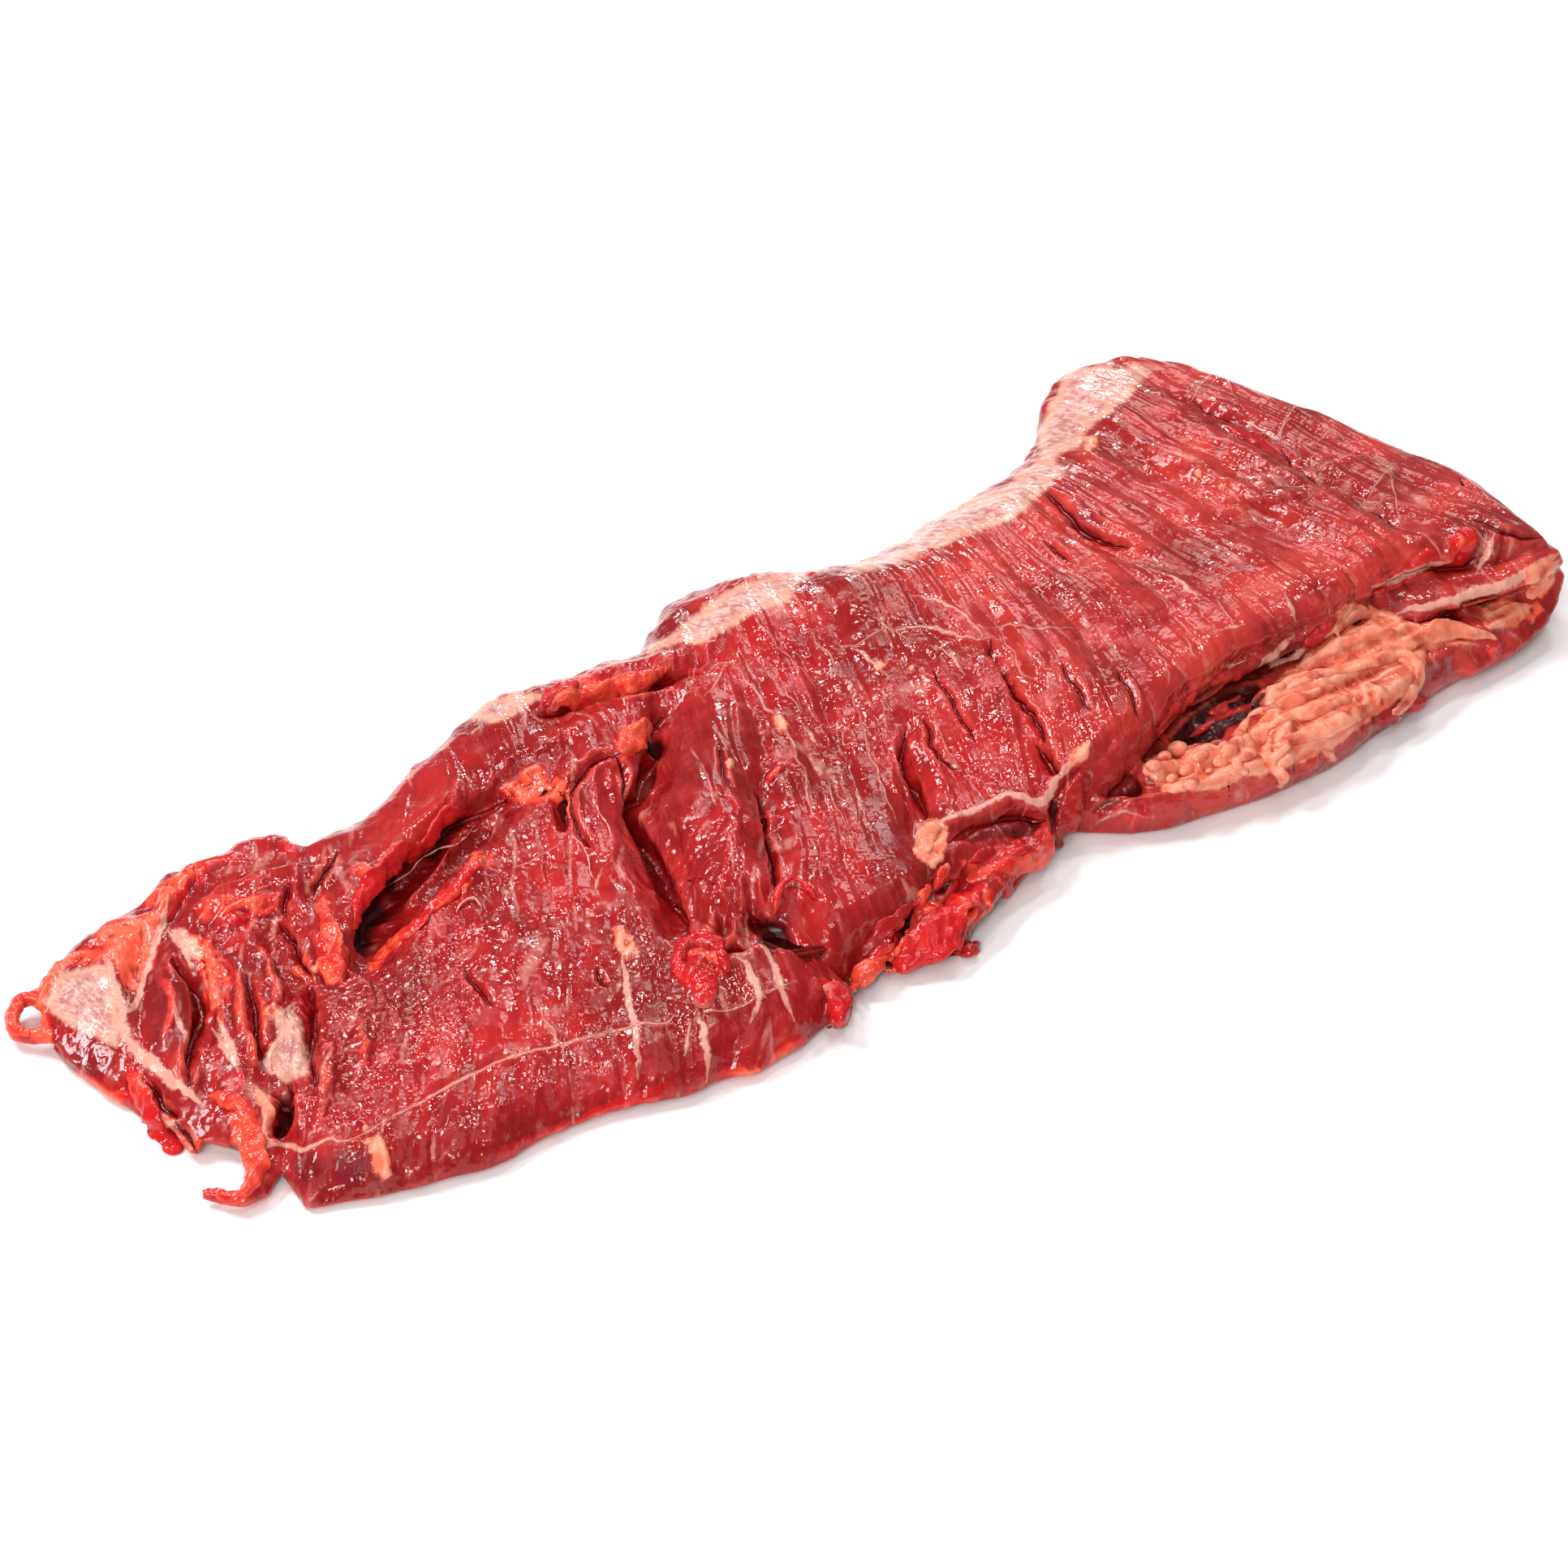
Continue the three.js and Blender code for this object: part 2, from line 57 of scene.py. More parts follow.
def makeCamera():
    side = math.radians(photoView["azimuth"])
    back = outward(photoView["azimuth"], photoView["elevation"])
    bpy.ops.object.select_all(action="DESELECT")
    bpy.ops.object.camera_add(location=Vector(photoView["target"]) + back * photoView["distance"])
    camera = bpy.context.object
    camera.rotation_euler = (-back).to_track_quat("-Z", "Y").to_euler()
    camera.data.lens = photoView["lens"]
    camera.data.sensor_width = photoView["sensor"]
    camera.data.clip_end = 20
    bpy.context.scene.camera = camera
    return camera, back, Vector((math.cos(side), math.sin(side), 0))


camera, towardsEye, eyeRight = makeCamera()
eye = camera.location.copy()
eyeUp = towardsEye.cross(eyeRight)
focalPixels = photoView["lens"] * photoView["pixels"] / photoView["sensor"]
halfFrame = photoView["pixels"] / 2
print("view set")


def photoRay(across, down):  # direction from the eye through a pixel of the photo
    side, rise = (across - halfFrame) / focalPixels, (halfFrame - down) / focalPixels
    return (eyeRight * side + eyeUp * rise - towardsEye).normalized()


def photoPlace(points):  # pixels of the photo at which points in millimetres show
    offset = points * mm - np.array(eye)
    depth = -offset @ np.array(towardsEye)
    across = halfFrame + focalPixels * (offset @ np.array(eyeRight)) / depth
    down = halfFrame - focalPixels * (offset @ np.array(eyeUp)) / depth
    return np.stack([across, down], 1)


# small helpers
def smoothStep(low, high, value):
    t = np.clip((value - low) / (high - low), 0, 1)
    return t * t * (3 - 2 * t)


def readPoints(mesh):  # in millimetres
    flat = np.empty(len(mesh.vertices) * 3, np.float32)
    mesh.vertices.foreach_get("co", flat)
    return flat.reshape(-1, 3).astype(float) / mm


def writePoints(mesh, points):
    mesh.vertices.foreach_set("co", (points * mm).astype(np.float32).ravel())
    mesh.update()


def readNormals(mesh):
    flat = np.empty(len(mesh.vertices) * 3, np.float32)
    mesh.vertex_normals.foreach_get("vector", flat)
    return flat.reshape(-1, 3).astype(float)


def readEdges(mesh):
    flat = np.empty(len(mesh.edges) * 2, np.int32)
    mesh.edges.foreach_get("vertices", flat)
    return flat.reshape(-1, 2)


def neighbourMean(values, edges):
    count = np.bincount(edges.ravel(), minlength=len(values)).astype(float)
    total = np.empty_like(values)
    for column in range(values.shape[1]):
        total[:, column] = (np.bincount(edges[:, 0], values[edges[:, 1], column], len(values))
                            + np.bincount(edges[:, 1], values[edges[:, 0], column], len(values)))
    return total / np.maximum(count, 1)[:, None]


def blurred(values, edges, rounds):
    wide = values.reshape(len(values), -1)
    for _ in range(rounds):
        wide = 0.5 * wide + 0.5 * neighbourMean(wide, edges)
    return wide.reshape(values.shape)


def noiseAt(points, size, layer=0.0):  # smooth noise from about -1 to 1
    scaled = points / np.array(size) + layer * 17.3
    return np.array([noise.noise(p) for p in scaled.tolist()])


def cellsAt(points, size, layer=0.0):  # distances to the nearest and the second cell centre
    scaled = points / np.array(size) + layer * 17.3
    found = [noise.voronoi(p, distance_metric="DISTANCE")[0] for p in scaled.tolist()]
    return np.array([f[0] for f in found]), np.array([f[1] for f in found])


def meshTree(mesh):
    return BVHTree.FromPolygons([v.co for v in mesh.vertices], [p.vertices for p in mesh.polygons])


def linkPiece(name, mesh):
    piece = bpy.data.objects.new(name, mesh)
    bpy.context.scene.collection.objects.link(piece)
    return piece


def giveAttribute(mesh, name, values):
    kind = "FLOAT_VECTOR" if values.ndim == 2 else "FLOAT"
    layer = mesh.attributes.new(name, kind, "POINT")
    layer.data.foreach_set("vector" if values.ndim == 2 else "value", values.astype(np.float32).ravel())


def pickOnly(piece):
    bpy.ops.object.select_all(action="DESELECT")
    piece.select_set(True)
    bpy.context.view_layer.objects.active = piece


def applyModifier(piece, kind, **settings):
    pickOnly(piece)
    bpy.ops.object.modifier_add(type=kind)
    modifier = piece.modifiers[-1]
    for name, value in settings.items():
        setattr(modifier, name, value)
    bpy.ops.object.modifier_apply(modifier=modifier.name)


# the meat as one soft form, with the faces that nobody sees thinned out
meatForm = {
    "voxel": 0.7, "roughVoxel": 1.5, "soften": 14, "keep": 0.45,
    "cuts": (-60.0, 68.0),  # places along X where the finished meat is cut, to keep each part's triangles few
    "openViews": [(0, 90), (0, 20), (60, 25), (120, 20), (180, 20), (240, 20), (300, 20), (-42, 35), (-60, 12)],
}


def openFaces(mesh):  # faces that are seen from outside and above
    tree = meshTree(mesh)
    views = [outward(side, rise) for side, rise in meatForm["openViews"]]
    found = np.zeros(len(mesh.polygons), bool)
    for index, face in enumerate(mesh.polygons):
        start = face.center + face.normal * (0.4 * mm)
        for view in views:
            if face.normal.dot(view) > 0.05 and tree.ray_cast(start, view)[0] is None:
                found[index] = True
                break
    return found


def softSteak(name, voxel, rounds):
    piece = linkPiece(name, steakNode.data.copy())
    applyModifier(piece, "WELD", merge_threshold=0.00001)
    applyModifier(piece, "REMESH", mode="VOXEL", voxel_size=voxel * mm)
    applyModifier(piece, "SMOOTH", factor=0.5, iterations=rounds)
    return piece


def meatBlank():
    rough = softSteak("roughSteak", meatForm["roughVoxel"], 2)
    tree, seen = meshTree(rough.data), openFaces(rough.data)
    bpy.data.objects.remove(rough)
    piece = softSteak("softSteak", meatForm["voxel"], meatForm["soften"])
    hidden = [v.index for v in piece.data.vertices if not seen[tree.find_nearest(v.co)[2]]]
    group = piece.vertex_groups.new(name="hidden")
    group.add(hidden, 1.0, "REPLACE")
    applyModifier(piece, "DECIMATE", ratio=meatForm["keep"], vertex_group="hidden", vertex_group_factor=5)
    piece.vertex_groups.clear()
    return piece


meat = meatBlank()
print("meat form:", len(meat.data.vertices), "points", len(meat.data.polygons), "triangles")

# marks drawn over the photo in its pixels, which fall along the camera's rays onto the meat
pixelsPerMm = focalPixels * mm / photoView["distance"]
creases = [  # depth, half breadth and height of the lips in millimetres, then the path
    (3.0, 1.4, 0.8, [(215, 1185), (235, 1210), (245, 1240), (242, 1275), (236, 1300), (232, 1335)]),
    (2.4, 1.2, 0.6, [(305, 1205), (312, 1240), (318, 1280), (330, 1320)]),
    (3.0, 1.4, 0.8, [(345, 1140), (365, 1180), (380, 1215), (383, 1260), (382, 1300), (388, 1330)]),
    (3.6, 2.0, 0.4, [(350, 1340), (352, 1370), (345, 1395)]),
    (2.0, 1.1, 0.5, [(185, 1340), (200, 1365), (218, 1375)]),
    (2.0, 1.2, 0.5, [(220, 1385), (235, 1410), (240, 1418)]),
    (1.4, 1.1, 0.4, [(355, 1095), (350, 1125)]),
    (1.4, 1.1, 0.4, [(390, 1095), (400, 1075), (415, 1050)]),
    (5.0, 3.4, 0.8, [(448, 1166), (462, 1143), (470, 1120), (484, 1102), (498, 1084), (514, 1064), (538, 1042),
        (556, 1020), (575, 1010), (598, 1002), (615, 992)]),
    (1.4, 1.0, 0.4, [(575, 1195), (590, 1215), (605, 1235)]),
    (3.0, 1.6, 1.0, [(700, 960), (690, 985), (695, 1020)]),
    (3.4, 1.6, 1.0, [(670, 880), (700, 872), (740, 862), (770, 853), (800, 845), (830, 838), (870, 825)]),
    (5.0, 2.2, 1.4, [(815, 885), (803, 905), (808, 925), (800, 945), (795, 965), (780, 990), (775, 1010),
        (785, 1030), (800, 1055), (812, 1080), (825, 1105), (835, 1130), (845, 1155)]),
    (2.2, 1.2, 0.8, [(760, 930), (735, 935), (715, 955), (700, 980), (705, 1010), (725, 1040)]),
    (2.0, 1.0, 0.5, [(765, 935), (770, 960), (765, 985)]),
    (3.6, 2.4, 0.4, [(855, 1156), (880, 1162), (905, 1163), (935, 1155)]),
    (3.6, 2.6, 0.2, [(925, 1130), (945, 1148), (970, 1165)]),
    (2.8, 1.0, 0.7, [(938, 980), (940, 1000), (945, 1025), (950, 1050), (955, 1080), (960, 1100)]),
    (1.2, 0.9, 0.3, [(888, 920), (890, 940), (895, 960), (903, 970)]),
    (1.2, 0.9, 0.3, [(735, 1195), (745, 1215)]),
    (2.8, 1.3, 0.7, [(1115, 905), (1112, 930), (1120, 955), (1130, 980), (1138, 1005)]),
    (1.8, 1.1, 0.5, [(1140, 890), (1145, 905), (1150, 920), (1165, 935), (1178, 943)]),
    (1.2, 0.9, 0.3, [(1150, 830), (1165, 850), (1180, 875), (1200, 910)]),
    (2.4, 1.1, 0.6, [(1223, 790), (1230, 810), (1240, 830), (1250, 850), (1262, 870), (1275, 890),
        (1285, 910)]),
    (3.0, 1.8, 0.4, [(1280, 922), (1290, 938), (1302, 952)]),
    (2.6, 2.6, 0.0, [(1172, 1035), (1200, 1012), (1240, 1003), (1285, 1008)]),
    (2.4, 1.4, 0.8, [(1285, 600), (1300, 615), (1320, 640), (1345, 660), (1370, 670), (1385, 673)]),
    (1.4, 1.0, 0.5, [(1290, 670), (1305, 680), (1315, 688)]),
    (0.8, 0.8, 0.2, [(1470, 487), (1493, 502), (1520, 513)]),
    (0.8, 0.8, 0.2, [(1580, 552), (1613, 580), (1640, 592)]),
    (0.8, 0.8, 0.2, [(1675, 612), (1700, 625), (1720, 642)]),
    (1.6, 1.4, 0.3, [(1694, 728), (1722, 712), (1760, 702), (1800, 700), (1815, 690)]),
    (2.0, 1.4, 0.3, [(1735, 762), (1780, 758), (1815, 742), (1850, 735)]),
    (2.4, 2.4, 0.2, [(1455, 905), (1480, 885), (1515, 865), (1545, 855)]),
    (1.4, 1.2, 0.3, [(1822, 640), (1850, 655), (1880, 662), (1900, 660)]),
    (1.2, 1.0, 0.3, [(1800, 590), (1830, 615), (1865, 630), (1890, 640)]),
    (1.2, 1.2, 0.3, [(1100, 1160), (1115, 1146), (1130, 1132)]),
    (1.4, 1.2, 0.3, [(1170, 1182), (1200, 1150), (1225, 1122)]),
    (1.3, 1.0, 0.4, [(1380, 830), (1395, 850), (1405, 880)]),
    (1.3, 1.0, 0.4, [(1310, 820), (1330, 850), (1340, 870)]),
]
valleys = [  # depth and half breadth in millimetres, then the path
    (2.6, 5.0, [(462, 1166), (484, 1140), (504, 1112), (526, 1088), (552, 1062), (580, 1036), (604, 1016)]),
    (2.4, 3.0, [(1452, 905), (1480, 888), (1515, 868), (1550, 852)]),
    (2.2, 4.0, [(1415, 470), (1440, 474), (1465, 488), (1493, 504), (1541, 520), (1573, 545), (1613, 581),
        (1650, 598), (1682, 613), (1710, 635), (1728, 652), (1745, 675)]),
    (1.4, 4.0, [(1380, 600), (1430, 588), (1468, 586), (1500, 582), (1540, 578), (1580, 588), (1630, 620)]),
    (1.2, 3.0, [(1430, 640), (1490, 640), (1560, 640), (1610, 650), (1650, 668)]),
    (1.2, 3.0, [(1330, 690), (1380, 700), (1430, 720), (1470, 745), (1500, 775)]),
    (1.6, 3.0, [(1150, 775), (1190, 790), (1230, 800), (1270, 830), (1300, 870)]),
    (1.2, 3.0, [(1225, 690), (1260, 705), (1300, 740), (1340, 780), (1370, 830)]),
    (1.0, 2.5, [(1040, 830), (1060, 870), (1075, 920), (1100, 980)]),
    (1.0, 2.5, [(985, 800), (1010, 850), (1030, 900), (1050, 960)]),
    (1.4, 3.0, [(900, 830), (930, 880), (945, 930), (940, 970)]),
    (1.2, 3.0, [(560, 1150), (620, 1160), (680, 1140), (740, 1130)]),
    (1.2, 3.0, [(480, 1270), (510, 1300), (540, 1330)]),
    (1.4, 2.5, [(1330, 1000), (1345, 960), (1365, 920), (1390, 890)]),
    (1.0, 1.6, [(1440, 870), (1475, 842), (1500, 832), (1540, 806), (1580, 792), (1612, 768), (1650, 750),
        (1680, 722)]),
    (1.4, 2.5, [(1300, 1010), (1310, 970), (1330, 935)]),
]
rims = [  # height and half breadth in millimetres, how torn and bright, then the path
    (1.6, 2.0, 0.8, [(205, 1125), (215, 1100), (235, 1078), (262, 1065), (290, 1058)]),
    (1.8, 2.2, 0.9, [(268, 1150), (290, 1128), (315, 1118), (345, 1112)]),
    (1.6, 1.4, 0.9, [(388, 1150), (398, 1170), (400, 1195), (412, 1208), (420, 1190), (415, 1165),
        (403, 1150)]),
    (1.0, 1.2, 0.9, [(618, 980), (630, 970), (645, 978)]),
    (1.4, 1.6, 1.0, [(640, 970), (655, 952), (668, 956)]),
    (1.0, 1.0, 0.1, [(255, 1150), (262, 1190), (270, 1240), (278, 1290)]),
    (1.2, 1.1, 0.2, [(285, 1180), (295, 1220), (300, 1265), (312, 1310)]),
    (1.2, 1.1, 0.2, [(325, 1170), (338, 1210), (345, 1250)]),
    (1.0, 1.0, 0.2, [(360, 1250), (366, 1290), (362, 1330)]),
    (1.0, 1.2, 0.3, [(400, 1270), (405, 1310), (400, 1350), (390, 1385)]),
    (0.8, 1.0, 0.3, [(440, 1260), (450, 1290), (445, 1320)]),
    (1.2, 2.0, 0.5, [(560, 1010), (590, 1012), (615, 1000), (640, 985)]),
    (1.0, 1.6, 0.4, [(700, 940), (722, 930), (745, 925), (768, 922)]),
    (0.9, 2.0, 1.0, [(73, 1188), (46, 1222), (46, 1262), (68, 1300), (88, 1330), (130, 1350), (165, 1362)]),
    (0.8, 1.6, 1.0, [(120, 1158), (145, 1138), (195, 1128), (215, 1108), (232, 1088)]),
    (0.8, 1.0, 0.6, [(196, 1200), (205, 1215), (211, 1234), (208, 1262), (200, 1290)]),
    (1.0, 1.6, 0.9, [(162, 1312), (176, 1345), (192, 1375), (208, 1402)]),
    (1.0, 1.2, 1.0, [(245, 1190), (262, 1215), (268, 1240), (258, 1255)]),
    (1.4, 1.8, 1.0, [(435, 1070), (450, 1080), (460, 1092)]),
    (0.5, 1.3, 0.45, [(880, 975), (900, 980), (905, 1000), (900, 1050), (895, 1100), (885, 1130), (870, 1150)]),
    (1.0, 0.9, 0.9, [(945, 965), (950, 955), (960, 945)]),
    (0.8, 1.4, 0.9, [(1010, 1212), (1025, 1215), (1040, 1235), (1035, 1255), (1025, 1258)]),
    (0.5, 1.6, 1.0, [(1020, 1265), (1000, 1280), (970, 1295), (945, 1315), (920, 1325), (885, 1322)]),
    (0.4, 1.4, 0.7, [(885, 1326), (840, 1335), (790, 1352), (740, 1372), (690, 1392), (640, 1412),
        (590, 1432)]),
    (1.2, 2.4, 0.55, [(1478, 505), (1521, 529), (1565, 545), (1597, 569), (1625, 592)]),
    (0.9, 2.2, 0.3, [(1440, 605), (1480, 605), (1533, 609), (1581, 609), (1625, 600), (1655, 590)]),
    (1.0, 1.4, 0.3, [(1830, 700), (1838, 680), (1842, 655)]),
    (0.8, 1.2, 0.3, [(1850, 700), (1880, 690), (1905, 672)]),
    (0.6, 0.9, 0.3, [(1302, 615), (1320, 635), (1340, 648), (1365, 662), (1385, 675)]),
    (0.6, 0.9, 0.3, [(1310, 607), (1330, 622), (1355, 637), (1380, 652), (1405, 658)]),
    (0.7, 1.5, 0.7, [(1690, 733), (1712, 714), (1738, 708), (1756, 690), (1784, 686), (1796, 664),
        (1820, 652)]),
]
fatLines = [  # half breadth and rise in millimetres, then the path
    (1.5, 0.7, [(132, 1187), (147, 1234), (153, 1268), (165, 1290), (190, 1315), (214, 1334), (245, 1359)]),
    (1.1, 0.4, [(205, 1120), (196, 1150), (188, 1178), (180, 1205), (168, 1236), (155, 1250)]),
    (1.0, 0.2, [(214, 1252), (226, 1268), (226, 1283)]),
    (1.0, 0.2, [(272, 1262), (282, 1288), (292, 1310)]),
    (0.8, 0.3, [(190, 1378), (205, 1385), (222, 1380)]),
    (0.5, 0.2, [(215, 1240), (225, 1265), (232, 1290)]),
    (1.1, 0.2, [(210, 1150), (225, 1170), (238, 1195)]),
    (0.9, 0.2, [(265, 1270), (280, 1300), (290, 1315)]),
    (0.8, 0.8, [(360, 1240), (350, 1250), (355, 1270), (340, 1290), (330, 1305), (335, 1325), (355, 1320),
        (372, 1318)]),
    (0.8, 0.6, [(320, 1345), (330, 1370), (328, 1400), (340, 1405)]),
    (0.4, 0.2, [(200, 1375), (220, 1385)]),
    (0.7, 0.4, [(320, 1420), (335, 1410), (360, 1412), (375, 1418), (400, 1408), (420, 1405), (440, 1400)]),
    (0.6, 0.4, [(440, 1400), (500, 1370), (560, 1335), (640, 1300), (680, 1292), (710, 1283), (750, 1272),
        (790, 1262), (820, 1262), (830, 1252)]),
    (0.35, 0.3, [(870, 1247), (900, 1245), (930, 1232), (955, 1218), (975, 1212)]),
    (0.3, 0.1, [(635, 1070), (665, 1055), (695, 1035)]),
    (0.5, 0.2, [(665, 1240), (675, 1262), (690, 1285), (695, 1300)]),
    (0.4, 0.2, [(870, 855), (880, 845), (890, 825), (897, 817)]),
    (0.5, 0.2, [(845, 838), (870, 826), (897, 817)]),
    (0.45, 0.2, [(897, 817), (905, 820), (920, 835), (935, 855), (950, 875), (965, 890), (970, 905), (978, 920),
        (982, 935), (992, 950), (995, 975), (1000, 995), (1008, 1010)]),
    (0.8, 0.2, [(765, 1165), (770, 1200), (775, 1230), (780, 1260), (785, 1290), (787, 1320)]),
    (1.0, 0.2, [(860, 1250), (868, 1275), (872, 1300), (870, 1325)]),
    (1.0, 0.2, [(915, 1185), (922, 1190), (930, 1210), (935, 1235), (930, 1250)]),
    (0.9, 0.2, [(935, 1160), (950, 1180), (958, 1200), (965, 1225), (975, 1250)]),
    (0.5, 0.2, [(850, 1260), (845, 1295)]),
    (0.4, 0.2, [(740, 1072), (738, 1080), (735, 1095)]),
    (0.7, 0.3, [(1130, 733), (1160, 742), (1185, 755), (1200, 770), (1210, 780)]),
    (0.4, 0.2, [(1215, 775), (1250, 770), (1290, 775), (1320, 770)]),
    (0.6, 0.4, [(1100, 775), (1130, 772), (1160, 775), (1190, 782), (1215, 785)]),
    (0.35, 0.1, [(1030, 795), (1055, 795), (1085, 775)]),
    (0.6, 0.2, [(1055, 800), (1070, 812), (1085, 825)]),
    (0.35, 0.1, [(1083, 822), (1095, 838)]),
    (0.25, 0.1, [(1060, 758), (1080, 762), (1100, 775), (1120, 790)]),
    (0.4, 0.1, [(1005, 790), (1020, 805), (1028, 815)]),
    (0.3, 0.1, [(930, 763), (945, 778), (960, 795), (972, 808)]),
    (0.35, 0.1, [(945, 828), (965, 845), (975, 860), (985, 875)]),
    (0.25, 0.1, [(950, 825), (970, 822), (990, 822), (1000, 840)]),
    (0.7, 0.2, [(995, 900), (1005, 915)]),
    (0.25, 0.1, [(1030, 895), (1038, 900), (1042, 915), (1060, 918)]),
    (0.35, 0.1, [(1050, 858), (1060, 880), (1065, 900), (1072, 925), (1080, 945), (1095, 985), (1105, 1010)]),
    (0.3, 0.1, [(1020, 960), (1025, 980), (1035, 1000), (1042, 1015)]),
    (0.6, 0.2, [(1165, 800), (1175, 810), (1185, 825)]),
    (1.0, 1.1, [(1130, 1040), (1145, 1025), (1160, 1015), (1190, 1005), (1220, 990), (1245, 982), (1270, 990),
        (1290, 985), (1300, 960), (1310, 950), (1330, 930), (1340, 920)]),
    (0.25, 0.1, [(1235, 785), (1245, 800), (1255, 825), (1270, 835)]),
    (0.25, 0.1, [(1150, 880), (1155, 895), (1165, 915), (1180, 940)]),
    (0.8, 0.2, [(1440, 710), (1460, 720), (1475, 735)]),
    (0.25, 0.1, [(1500, 725), (1515, 705), (1535, 700)]),
    (0.3, 0.1, [(1500, 740), (1512, 755), (1520, 770)]),
    (0.3, 0.1, [(1530, 735), (1550, 740), (1570, 760)]),
    (0.7, 0.2, [(1585, 735), (1595, 760)]),
    (0.6, 0.2, [(1510, 775), (1530, 770)]),
    (0.25, 0.1, [(1420, 800), (1435, 815), (1440, 840)]),
    (0.3, 0.1, [(1460, 790), (1475, 810)]),
    (1.2, 0.4, [(1540, 820), (1570, 810), (1590, 790)]),
    (0.3, 0.1, [(1470, 485), (1490, 465), (1510, 470), (1525, 490)]),
    (0.3, 0.1, [(1575, 530), (1590, 515)]),
    (0.25, 0.1, [(1620, 550), (1640, 530), (1660, 540)]),
    (0.3, 0.1, [(1690, 565), (1710, 580), (1718, 595)]),
    (1.3, 0.6, [(1726, 754), (1774, 744), (1822, 730), (1863, 717), (1895, 695), (1915, 685)]),
    (1.0, 0.5, [(1694, 723), (1742, 703), (1782, 693)]),
    (0.8, 0.4, [(1822, 701), (1832, 680), (1840, 662)]),
    (0.25, 0.1, [(1465, 480), (1480, 468), (1500, 462)]),
    (0.3, 0.1, [(1577, 535), (1585, 515), (1597, 500)]),
    (0.3, 0.1, [(1621, 572), (1650, 565), (1690, 556)]),
    (0.3, 0.1, [(1686, 608), (1700, 590), (1718, 573)]),
    (0.3, 0.1, [(1700, 566), (1715, 580), (1718, 605), (1728, 640)]),
    (0.5, 0.3, [(1348, 1018), (1380, 1000), (1408, 1006)]),
    (0.4, 0.2, [(1640, 900), (1600, 930), (1560, 952)]),
    (1.0, 0.4, [(1513, 822), (1550, 818), (1597, 806), (1621, 784)]),
    (0.8, 0.2, [(1740, 704), (1762, 700)]),
]
fatPatches = [  # outlines
    [(1408, 951), (1412, 934), (1461, 918), (1509, 914), (1549, 894), (1557, 862), (1549, 854), (1597, 822),
        (1621, 782), (1670, 742), (1718, 758), (1766, 774), (1822, 794), (1758, 802), (1754, 842), (1742, 854),
        (1690, 886), (1649, 918), (1589, 947), (1557, 955), (1533, 959), (1501, 975), (1432, 975)],
    [(1820, 745), (1860, 738), (1890, 745), (1870, 775), (1835, 775)],
    [(752, 1140), (768, 1138), (780, 1155), (784, 1175), (772, 1180), (758, 1165)],
    [(450, 1402), (470, 1398), (480, 1420), (482, 1450), (470, 1460), (458, 1440)],
    [(950, 880), (962, 878), (972, 892), (970, 903), (958, 900)],
    [(1128, 1012), (1150, 1005), (1168, 1020), (1165, 1060), (1148, 1072), (1128, 1050)],
    [(1876, 702), (1900, 690), (1918, 690), (1916, 715), (1900, 738), (1882, 736)],
    [(1310, 925), (1330, 918), (1345, 912), (1340, 935), (1320, 948)],
]
fatSpecks = [  # place and radius
    (1412, 577, 5), (1475, 580, 4), (1505, 598, 4), (1518, 600, 3), (1428, 485, 3), (1705, 660, 3),
    (1830, 690, 4), (940, 897, 5), (900, 940, 5), (1083, 822, 6), (1123, 823, 4), (1215, 855, 4),
    (335, 1245, 7), (390, 1195, 4), (475, 1250, 5), (450, 1388, 5), (1345, 545, 9),
]
silverPatches = [
    [(55, 1236), (73, 1196), (129, 1188), (142, 1221), (148, 1264), (144, 1290), (120, 1280), (84, 1262)],
    [(800, 800), (840, 770), (880, 738), (905, 722), (960, 705), (1000, 700), (972, 735), (930, 757),
        (870, 790)],
    [(1040, 706), (1075, 670), (1120, 648), (1180, 622), (1240, 598), (1290, 556), (1312, 575), (1285, 604),
        (1250, 640), (1170, 665), (1130, 684), (1085, 700)],
    [(1280, 530), (1300, 490), (1310, 465), (1330, 450), (1400, 448), (1430, 452), (1410, 465), (1390, 490),
        (1370, 505), (1340, 530), (1330, 545), (1300, 560), (1280, 575)],
    [(575, 885), (600, 862), (640, 852), (665, 858), (650, 872), (610, 890)],
    [(340, 1250), (360, 1238), (372, 1262), (380, 1296), (376, 1322), (352, 1330), (334, 1320), (330, 1300),
        (344, 1285)],
    [(210, 1146), (226, 1144), (240, 1160), (246, 1180), (232, 1176)],
]
